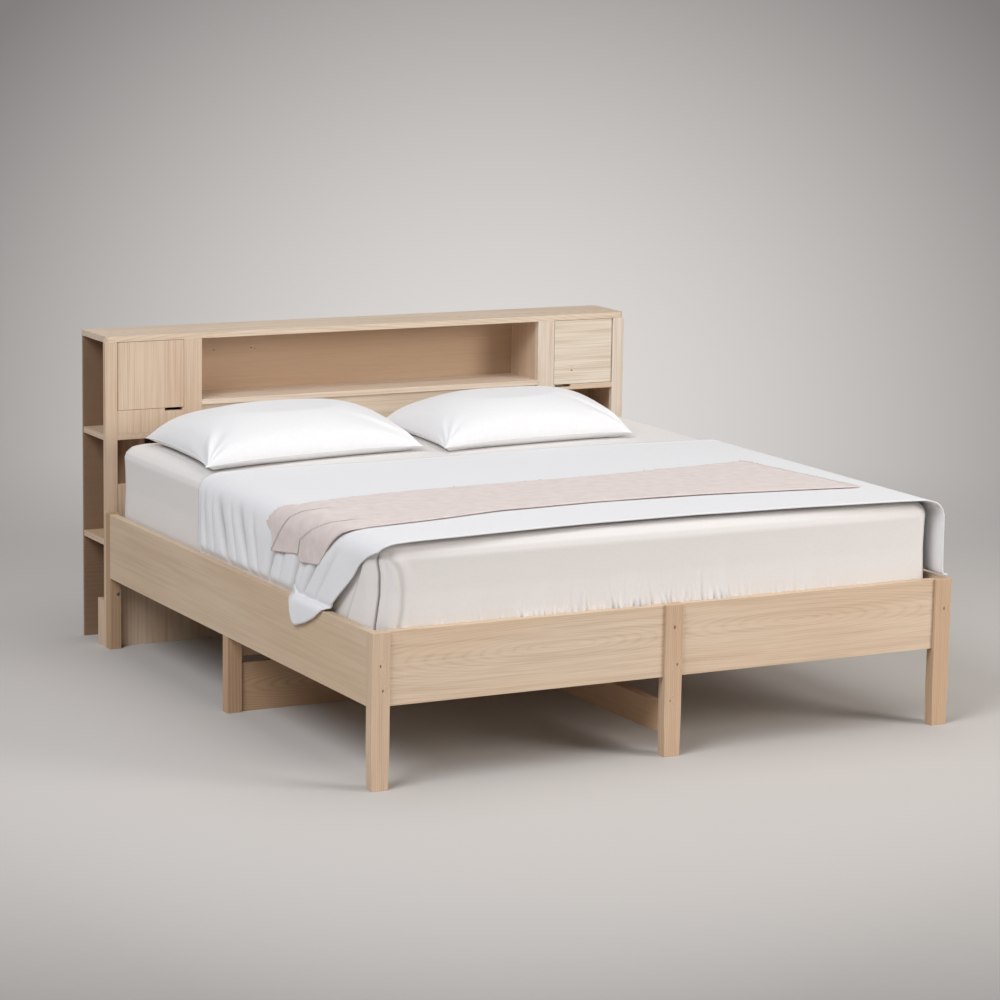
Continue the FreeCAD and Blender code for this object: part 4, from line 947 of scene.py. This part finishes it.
def lengthAt(line, x, z):
    row, length = line
    return length[np.argmin((row[:, 0] - x) ** 2 + (row[:, 1] - z) ** 2)]


def endLength(lines, ends, y):
    # how far along its path the cloth begins at the distance y from the foot
    if y >= coverLook["tuckFrom"]:
        line = lines["tucked"]
        shown = lengthAt(line, -0.9755, 0.479)
        hidden = lengthAt(line, -0.9708, 0.446)
        return "tucked", shown + (hidden - shown) * smoothStep(y, coverLook["tuckFrom"], 0.61)
    line = lines["over"]
    lengths = [lengthAt(line, -abs(x), z) for _, x, z in ends]
    return "over", float(np.interp(y, [end[0] for end in ends], lengths))


def sideFolds(y, z):
    # outward push of the cover's left side, and painted shade in its valleys; the valleys stay on the base
    # line
    depth = np.zeros_like(y)
    for y0, z0, y1, z1, width, strength in coverLook["valleys"]:
        at = y1 + (y0 - y1) * (z - z1) / (z0 - z1)
        spread = width * (0.6 + 0.6 * smoothStep(z, 0.45, 0.60))
        depth = np.maximum(depth, strength * ridge(y - at, spread))
    height = smoothStep(z, 0.474, 0.500) * (1 - smoothStep(z, 0.60, 0.695))
    edge = smoothStep(y, 1.32, 1.27) * smoothStep(y, 0.16, 0.34)
    push = coverLook["foldPush"] * (1 - depth) * height * edge
    return push, coverLook["foldShade"] * np.minimum(depth, 1.1) ** 2 * height * edge


def openGroup(name, seeded):
    # a node group that grows threads along a line, opened with its named inputs
    tree = bpy.data.node_groups.new(name, "GeometryNodeTree")
    face = tree.interface
    face.new_socket("Line", in_out="INPUT", socket_type="NodeSocketGeometry")
    for label in ("Spacing", "Length", "Radius"):
        face.new_socket(label, in_out="INPUT", socket_type="NodeSocketFloat")
    if seeded:
        face.new_socket("Seed", in_out="INPUT", socket_type="NodeSocketInt")
    face.new_socket("Threads", in_out="OUTPUT", socket_type="NodeSocketGeometry")
    given = addNode(tree, "NodeGroupInput").outputs
    return tree, given, addNode(tree, "GeometryNodeMeshToCurve", {"Mesh": given["Line"]}).outputs[0]


def closeGroup(tree, placed, material):
    real = addNode(tree, "GeometryNodeRealizeInstances", {0: placed.outputs[0]}).outputs[0]
    coloured = addNode(tree, "GeometryNodeSetMaterial", {0: real, "Material": material}).outputs[0]
    addNode(tree, "NodeGroupOutput", {"Threads": coloured})
    return tree


def growAlong(name, line, tree, look):
    # runs a thread group along a line of points and keeps what grows as a plain mesh
    mesh = bpy.data.meshes.new(name)
    mesh.from_pydata([tuple(p) for p in line], [(i, i + 1) for i in range(len(line) - 1)], [])
    piece = addObject(name, mesh)
    nodes = piece.modifiers.new("threads", "NODES")
    nodes.node_group = tree
    sockets = {item.name: item.identifier for item in tree.interface.items_tree}
    for key, value in look.items():
        nodes[sockets[key.capitalize()]] = value
    settle(piece)
    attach(piece, "bed")
    return piece


stitchLook = {"spacing": 0.0052, "length": 0.0034, "radius": 0.00042}


def stitchTree(material):
    # one row of running stitches along a line
    tree, given, curve = openGroup("stitchRow", seeded=False)
    places = addNode(tree, "GeometryNodeCurveToPoints", {"Curve": curve, "Length": given["Spacing"]},
                     mode="LENGTH")
    stitch = addNode(tree, "GeometryNodeMeshCylinder", {"Vertices": 6, "Radius": given["Radius"],
                                                        "Depth": given["Length"]}).outputs[0]
    placed = addNode(tree, "GeometryNodeInstanceOnPoints", {
        "Points": places.outputs["Points"], "Instance": stitch, "Rotation": places.outputs["Rotation"]})
    return closeGroup(tree, placed, material)


def makeCover(material):
    look = coverLook
    lines = coverLines()
    fractions = np.concatenate([np.linspace(0, 0.18, 22)[:-1], np.linspace(0.18, 1, 150)])
    sideSteps, topSteps = 58, 46
    front = np.array(look["front"])
    points, uvs, outer, creaseShades = [], [], [], []
    shoulder = lengthAt(lines["over"], *shoulderPlace)
    for fraction in fractions:
        halves = []
        for edge, ends in ((0, look["leftEnd"]), (-1, look["rightEnd"])):
            startY = front[edge, 1]
            y = startY + fraction * (look["headEdge"] - startY)
            kind, begin = endLength(lines, ends, y)
            row, length = lines[kind]
            shift = length[-1] - lines["over"][1][-1]
            bend = shoulder + shift
            at = np.concatenate([np.linspace(begin, bend, sideSteps)[:-1],
                                 np.linspace(bend, length[-1], topSteps)])
            x = np.interp(at, length, row[:, 0])
            z = np.interp(at, length, row[:, 1])
            dx = np.gradient(x)
            dz = np.gradient(z)
            size = np.hypot(dx, dz)
            halves.append((x, z, -dz / size, dx / size, at - shift))
        # the left half, then the right one mirrored and run from the middle outwards
        left, right = halves[0], [values[::-1][1:] for values in halves[1]]
        x, z, nx, nz = (np.concatenate([a, sign * b]) for a, b, sign in zip(left, right, (-1, 1, -1, 1)))
        run = np.concatenate([left[4], 2 * left[4][-1] - right[4]])
        startY = np.interp(x, front[:, 0], front[:, 1])
        y = startY + fraction * (look["headEdge"] + 0.012 * np.sin(x * 5) - startY)
        push, creaseShade = (np.where(x < -0.9, value, 0.0) for value in sideFolds(y, z))
        rightPush, rightCrease = sideFolds(y + 0.04 * np.sin(9 * z), z)
        push = push + np.where(x > 0.9, rightPush, 0.0)
        creaseShade = creaseShade + np.where(x > 0.9, rightCrease, 0.0)
        fromEdge = np.minimum(y - startY, look["headEdge"] - y)
        push = push + 0.0009 * smoothStep(fromEdge, look["hem"] + 0.004, look["hem"] - 0.004)
        flat = smoothStep(np.abs(x), 0.97, 0.90)
        push = push + flat * 0.0008 * (1 + softNoise(x, y * 1.6, 8, 0.42))
        push = push + smoothStep(z, railTop, 0.44) * (1 + np.sin(y * 74)) * 0.0006
        points.append(np.column_stack([x + nx * push, y - footToMiddle, z + nz * push]))
        above = push + look["thickness"]
        outer.append(np.column_stack([x + nx * above, y - footToMiddle, z + nz * above]))
        uvs.append(np.column_stack([run, y]))
        creaseShades.append(creaseShade)
    columns = len(points[0])
    rows = len(points)
    piece = meshPiece("cover", np.vstack(points), gridFaces(rows, columns), material, np.vstack(uvs),
                      creaseShades=np.concatenate(creaseShades))
    flat, area = flatCut(piece)
    thicken(piece, look["thickness"])
    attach(piece, "bed")
    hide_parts("bed_cover")
    print("cover cut", [round(size, 3) for size in flat], round(area, 3))
    tree = stitchTree(material)
    hems = [growAlong("coverHem_" + name, outer[row][4:-4], tree, stitchLook)
            for name, row in (("foot", 2), ("head", -4))]


# Throw.

throwLook = {
    "thickness": 0.0048, "topLift": 0.0078, "sideLift": 0.0136,
    # edges as (x, z, Y): where each edge runs over the left shoulder and across the top
    "front": [(-0.9755, 0.58, 0.402), (-0.9755, 0.65, 0.335), (-0.970, 0.68, 0.300), (-0.952, 0.701, 0.270),
              (-0.917, 0.711, 0.258), (-0.85, 0.7138, 0.262), (-0.68, 0.715, 0.285),
              (-0.42, 0.716, 0.337), (-0.067, 0.7165, 0.355), (0.282, 0.7165, 0.342), (0.621, 0.716, 0.299),
              (0.830, 0.7145, 0.272)],
    "back": [(-0.9755, 0.56, 0.775), (-0.9755, 0.66, 0.762), (-0.952, 0.701, 0.715), (-0.925, 0.710, 0.675),
             (-0.56, 0.7155, 0.731), (-0.20, 0.7165, 0.740), (0.156, 0.7165, 0.750), (0.554, 0.716, 0.794),
             (0.745, 0.7148, 0.822)],
    "endHeights": [(0.30, 0.668), (0.39, 0.596), (0.50, 0.582), (0.53, 0.604), (0.60, 0.593), (0.703, 0.580),
                   (0.712, 0.602), (0.735, 0.634), (0.762, 0.655)],
    "rightEnd": (0.828, 0.745),      # x at the front edge and at the back edge
    "folds": [[(0.58, 0.526), (0.651, 0.503), (0.68, 0.440), (0.71, 0.345)],
              [(0.58, 0.716), (0.647, 0.654), (0.687, 0.604), (0.71, 0.545)]],
    "foldDepth": 0.0095, "foldShade": 0.85, "hangFrom": 0.40, "hangSpan": 0.365,
}


def throwEdge(line, table, at):
    # distance from the foot of one long edge, at these lengths across the bed
    lengths = [lengthAt(line, -abs(x), z) if x <= 0 else 2 * line[1][-1] - lengthAt(line, -x, z)
               for x, z, _ in table]
    order = np.argsort(lengths)
    return np.interp(at, np.array(lengths)[order], np.array([row[2] for row in table])[order])


def makeThrow(material):
    look = throwLook
    line = coverLines()["over"]
    row, length = line
    whole = 2 * length[-1]
    ends = np.array(look["endHeights"])
    endAt = [lengthAt(line, -0.9755, z) for z in ends[:, 1]]
    shoulder = lengthAt(line, *shoulderPlace)
    points, uvs, creaseShades = [], [], []
    for fraction in np.linspace(0, 1, 190):
        y = look["hangFrom"] + fraction * look["hangSpan"]
        begin = float(np.interp(y, ends[:, 0], endAt))
        endX = np.interp(fraction, [0, 1], look["rightEnd"])
        finish = whole - lengthAt(line, -endX, 0.7146)
        at = np.concatenate([np.linspace(begin, shoulder, 44)[:-1], np.linspace(shoulder, finish, 84)])
        half = np.minimum(at, whole - at)
        x = np.interp(half, length, row[:, 0]) * np.where(at > length[-1], -1, 1)
        z = np.interp(half, length, row[:, 1])
        dx, dz = np.gradient(x), np.gradient(z)
        size = np.hypot(dx, dz)
        nx, nz = -dz / size, dx / size
        low = throwEdge(line, look["front"], at)
        high = throwEdge(line, look["back"], at)
        ragged = 0.0050 * softNoise(at, at * 0, 21, 0.050) + 0.0026 * softNoise(at, at * 0, 22, 0.016)
        y = low + fraction * (high - low) + ragged * smoothStep(fraction, 0.86, 1.0)
        nearSide = smoothStep(x, -0.80, -0.935)
        lift = look["topLift"] + (look["sideLift"] - look["topLift"]) * smoothStep(x, -0.92, -0.972)
        push = lift + 0.0010 * (1 + softNoise(x, y * 2.0, 5, 0.30)) * (1 - nearSide)
        startY = low
        creaseShade = np.zeros_like(x)
        for fold in look["folds"]:
            fold = np.array(fold)
            foldY = np.interp(z, fold[:, 0], fold[:, 1])
            rise = np.clip((y - startY) / np.maximum(foldY - startY, 0.01), 0, 1)
            raised = smoothStep(y, foldY + 0.004, foldY - 0.001) * (y >= startY)
            push = push + look["foldDepth"] * nearSide * rise ** 1.5 * raised
            # painted shade along each fold line
            creaseShade = creaseShade + look["foldShade"] * nearSide * ridge(y - foldY + 0.0035, 0.0036)
            startY = foldY
        points.append(np.column_stack([x + nx * push, y - footToMiddle, z + nz * push]))
        uvs.append(np.column_stack([at, y]))
        creaseShades.append(creaseShade)
    borders = {"back": points[-1], "right": [row[-1] for row in points], "left": [row[0] for row in points]}
    piece = meshPiece("throwCloth", np.vstack(points), gridFaces(len(points), len(points[0])), material,
                      np.vstack(uvs), creaseShades=np.concatenate(creaseShades))
    flat, area = flatCut(piece)
    thicken(piece, look["thickness"])
    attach(piece, "bed")
    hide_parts("throw")
    return piece, borders, flat, area


fringeLook = {"spacing": 0.0034, "length": 0.011, "radius": 0.0007, "seed": 4}


def fringeTree(material):
    # short threads along an edge, each leaning and scaled a little differently
    tree, given, curve = openGroup("threadFringe", seeded=True)
    spaced = addNode(tree, "GeometryNodeResampleCurve", {"Curve": curve, "Length": given["Spacing"]},
                     mode="LENGTH").outputs[0]
    tip = addNode(tree, "ShaderNodeCombineXYZ", {"Z": given["Length"]}).outputs[0]
    thread = addNode(tree, "GeometryNodeCurvePrimitiveLine", {"End": tip}).outputs[0]
    thread = addNode(tree, "GeometryNodeResampleCurve", {"Curve": thread, "Count": 4}, mode="COUNT")
    ring = addNode(tree, "GeometryNodeCurvePrimitiveCircle", {"Resolution": 4, "Radius": given["Radius"]})
    tube = addNode(tree, "GeometryNodeCurveToMesh", {"Curve": thread.outputs[0], "Fill Caps": True,
                                                     "Profile Curve": ring.outputs[0]}).outputs[0]
    lean = addNode(tree, "FunctionNodeRandomValue", {0: (-0.6, -0.6, -3.1), 1: (0.6, 0.6, 3.1),
                                                     "Seed": given["Seed"]}, data_type="FLOAT_VECTOR")
    normal = addNode(tree, "GeometryNodeInputNormal").outputs[0]
    kept = addNode(tree, "GeometryNodeCaptureAttribute", {"Geometry": spaced})
    kept.capture_items.new("VECTOR", "outward")
    tree.links.new(normal, kept.inputs[1])
    outward = addNode(tree, "FunctionNodeAlignRotationToVector", {"Vector": kept.outputs[1]}, axis="Z")
    turned = addNode(tree, "FunctionNodeRotateRotation", {0: outward.outputs[0]}, rotation_space="LOCAL")
    tree.links.new(lean.outputs[0], turned.inputs[1])
    size = addNode(tree, "FunctionNodeRandomValue", {2: 0.45, 3: 1.25, "Seed": given["Seed"]},
                   data_type="FLOAT").outputs[1]
    placed = addNode(tree, "GeometryNodeInstanceOnPoints", {"Points": kept.outputs[0], "Instance": tube,
                                                            "Rotation": turned.outputs[0], "Scale": size})
    return closeGroup(tree, placed, material)


# Pillows.

pillowLook = {
    "base": 0.7128, "top": 0.8545, "seam": 0.024, "ear": 0.014, "drawIn": (0.050, 0.072),
    "columns": 96, "rows": 72, "frames": 14, "mostMove": 0.009,
}
pillowCloth = {"quality": 5, "mass": 0.25, "tension_stiffness": 12, "compression_stiffness": 10,
               "shear_stiffness": 4, "bending_stiffness": 0.4, "use_pressure": True,
               "uniform_pressure_force": 3.2}
pillows = {
    "pillow_left": {"corners": [(-0.948, 0.195), (-0.103, 0.320), (-0.053, 0.870), (-0.903, 0.835)],
                    "seed": 5, "crown": 0.16},
    "pillow_right": {"corners": [(-0.068, 0.250), (0.697, 0.310), (0.805, 0.850), (-0.028, 0.840)],
                     "seed": 9, "crown": 0.12},
}


def pillowPlan(corners, a, b):
    draw = pillowLook["drawIn"]
    a, b = a * (1 - draw[0] * (1 - b * b)), b * (1 - draw[1] * (1 - a * a))
    weights = [(1 - a) * (1 - b), (1 + a) * (1 - b), (1 + a) * (1 + b), (1 - a) * (1 + b)]
    x = sum(w * c[0] for w, c in zip(weights, corners)) / 4
    y = sum(w * c[1] for w, c in zip(weights, corners)) / 4
    return x, y


def pillowMesh(name, look, material):
    shape = pillowLook
    n, m = shape["columns"], shape["rows"]

    def spaced(count):
        # from -1 to 1, closer together towards both ends
        return np.sin(np.linspace(-1, 1, count) * np.pi / 2 * 0.82) / math.sin(np.pi / 2 * 0.82)

    a, b = np.meshgrid(spaced(n), spaced(m))
    x, y = pillowPlan(look["corners"], a, b)
    skewed = np.clip(b - look["crown"] * (1 - b * b), -1, 1)
    full = (np.clip(1 - np.abs(a) ** 2.6, 0, 1) * np.clip(1 - np.abs(skewed) ** 2.3, 0, 1)) ** 0.52
    seam = shape["base"] + shape["seam"] - (shape["seam"] - shape["ear"]) * (a * b) ** 4
    wide = softNoise(x, y, look["seed"], 0.34)
    top = seam + (shape["top"] - shape["base"] - shape["seam"]) * full + 0.0035 * wide * full
    under = seam - (shape["seam"] - 0.0004) * np.clip(full * 2.2, 0, 1) ** 0.8
    # creases that run in from the corners
    rng = random.Random(look["seed"])
    for cornerA, cornerB in ((-1, -1), (1, -1), (1, 1), (-1, 1)):
        cx, cy = pillowPlan(look["corners"], np.float64(cornerA), np.float64(cornerB))
        away = np.hypot(x - cx, y - cy)
        angle = np.arctan2((y - cy) * -cornerB, (x - cx) * -cornerA)
        for _ in range(5):
            aim = rng.uniform(0.15, 1.4)
            reach = rng.uniform(0.10, 0.26)
            deep = rng.uniform(0.003, 0.0075)
            mask = np.exp(-((away - reach * 0.55) / (reach * 0.45)) ** 2)
            top = top - deep * ridge(angle - aim, 0.09) * mask
            top = top + deep * 0.6 * ridge(angle - aim - 0.16, 0.09) * mask
    upper = np.column_stack([x.ravel(), y.ravel(), top.ravel()])
    lower = np.column_stack([x.ravel(), y.ravel(), under.ravel()])
    faces = gridFaces(m, n)
    index = np.arange(m * n).reshape(m, n)
    inside = np.zeros((m, n), dtype=bool)
    inside[1:-1, 1:-1] = True
    fresh = np.full(m * n, -1)
    fresh[inside.ravel()] = m * n + np.arange(inside.sum())
    joined = np.where(fresh < 0, np.arange(m * n), fresh)
    border = (upper + lower) / 2
    edge = ~inside.ravel()
    upper[edge] = border[edge]
    upper[edge, 2] = seam.ravel()[edge]
    points = np.vstack([upper, lower[inside.ravel()]])
    faces = faces + [tuple(joined[list(face)][::-1]) for face in faces]
    faces = [tuple(int(v) for v in face) for face in faces]
    uvs = np.column_stack([points[:, 0], points[:, 1]])
    piece = meshPiece(name, points, faces, material, uvs)
    loop = list(index[0]) + list(index[1:, -1]) + list(index[-1, -2::-1]) + list(index[-2:0:-1, 0])
    return piece, [int(v) for v in loop]


def puff(piece):
    # the filling presses the cover out: a short cloth simulation, with each point's move capped
    shape = pillowLook
    before = np.array([v.co[:] for v in piece.data.vertices])
    cloth = piece.modifiers.new("cloth", "CLOTH")
    for setting, value in pillowCloth.items():
        setattr(cloth.settings, setting, value)
    cloth.settings.effector_weights.gravity = 0.0
    cloth.collision_settings.use_self_collision = False
    cloth.point_cache.frame_end = shape["frames"]
    for step in range(1, shape["frames"] + 1):
        bpy.context.scene.frame_set(step)
    mesh = madeMesh(piece)
    after = np.array([v.co[:] for v in mesh.vertices])
    piece.modifiers.clear()
    move = after - before
    far = np.linalg.norm(move, axis=1)
    move *= (np.minimum(far, shape["mostMove"]) / np.maximum(far, 1e-9))[:, None]
    after = before + move
    after[:, 2] = np.clip(after[:, 2], shape["base"] + 0.0002, shape["top"] - 0.001)
    piece.data.vertices.foreach_set("co", after.ravel())
    piece.data.update()
    bpy.data.meshes.remove(mesh)
    bpy.context.scene.frame_set(1)


def seamCord(name, piece, loop, material):
    # the flat-felled seam round the pillow as a thin raised line
    points = np.array([piece.data.vertices[i].co[:] for i in loop])
    points[:, 2] = np.maximum(points[:, 2], pillowLook["base"] + 0.0022)
    curve = bpy.data.curves.new(name, "CURVE")
    curve.dimensions = "3D"
    line = curve.splines.new("POLY")
    line.points.add(len(points) - 1)
    for place, point in zip(line.points, points):
        place.co = (*point, 1.0)
    line.use_cyclic_u = True
    curve.bevel_depth = 0.0017
    curve.bevel_resolution = 1
    curve.materials.append(material)
    cord = addObject(name, curve)
    mesh = madeMesh(cord)
    bpy.data.objects.remove(cord)
    solid = addObject(name, mesh)
    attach(solid, "bed")


def makePillows(material):
    for node, look in pillows.items():
        piece, loop = pillowMesh(node + "_case", look, material)
        puff(piece)
        seamCord(node + "_seam", piece, loop, material)
        soft = piece.modifiers.new("soft", "SUBSURF")
        soft.levels = 1
        settle(piece)
        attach(piece, "bed")
        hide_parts(node)


ticking = linenMaterial("ticking", linenLook["ticking"])
sheetLinen = linenMaterial("sheetLinen", linenLook["cream"])
coverLinen = linenMaterial("coverLinen", linenLook["white"])
pillowLinen = linenMaterial("pillowLinen", linenLook["pillow"])
blushKnit = knitMaterial()
makeMattress(ticking)
makeFittedSheet(sheetLinen)
makeCover(coverLinen)
throwCloth, throwBorders, throwFlat, throwArea = makeThrow(blushKnit)
fringe = fringeTree(blushKnit)
fringes = [growAlong("fringe_" + key, border, fringe, fringeLook)
           for key, border in throwBorders.items()]
print("throw cut", [round(size, 3) for size in throwFlat], round(throwArea, 3))
makePillows(pillowLinen)
print("bedding made")
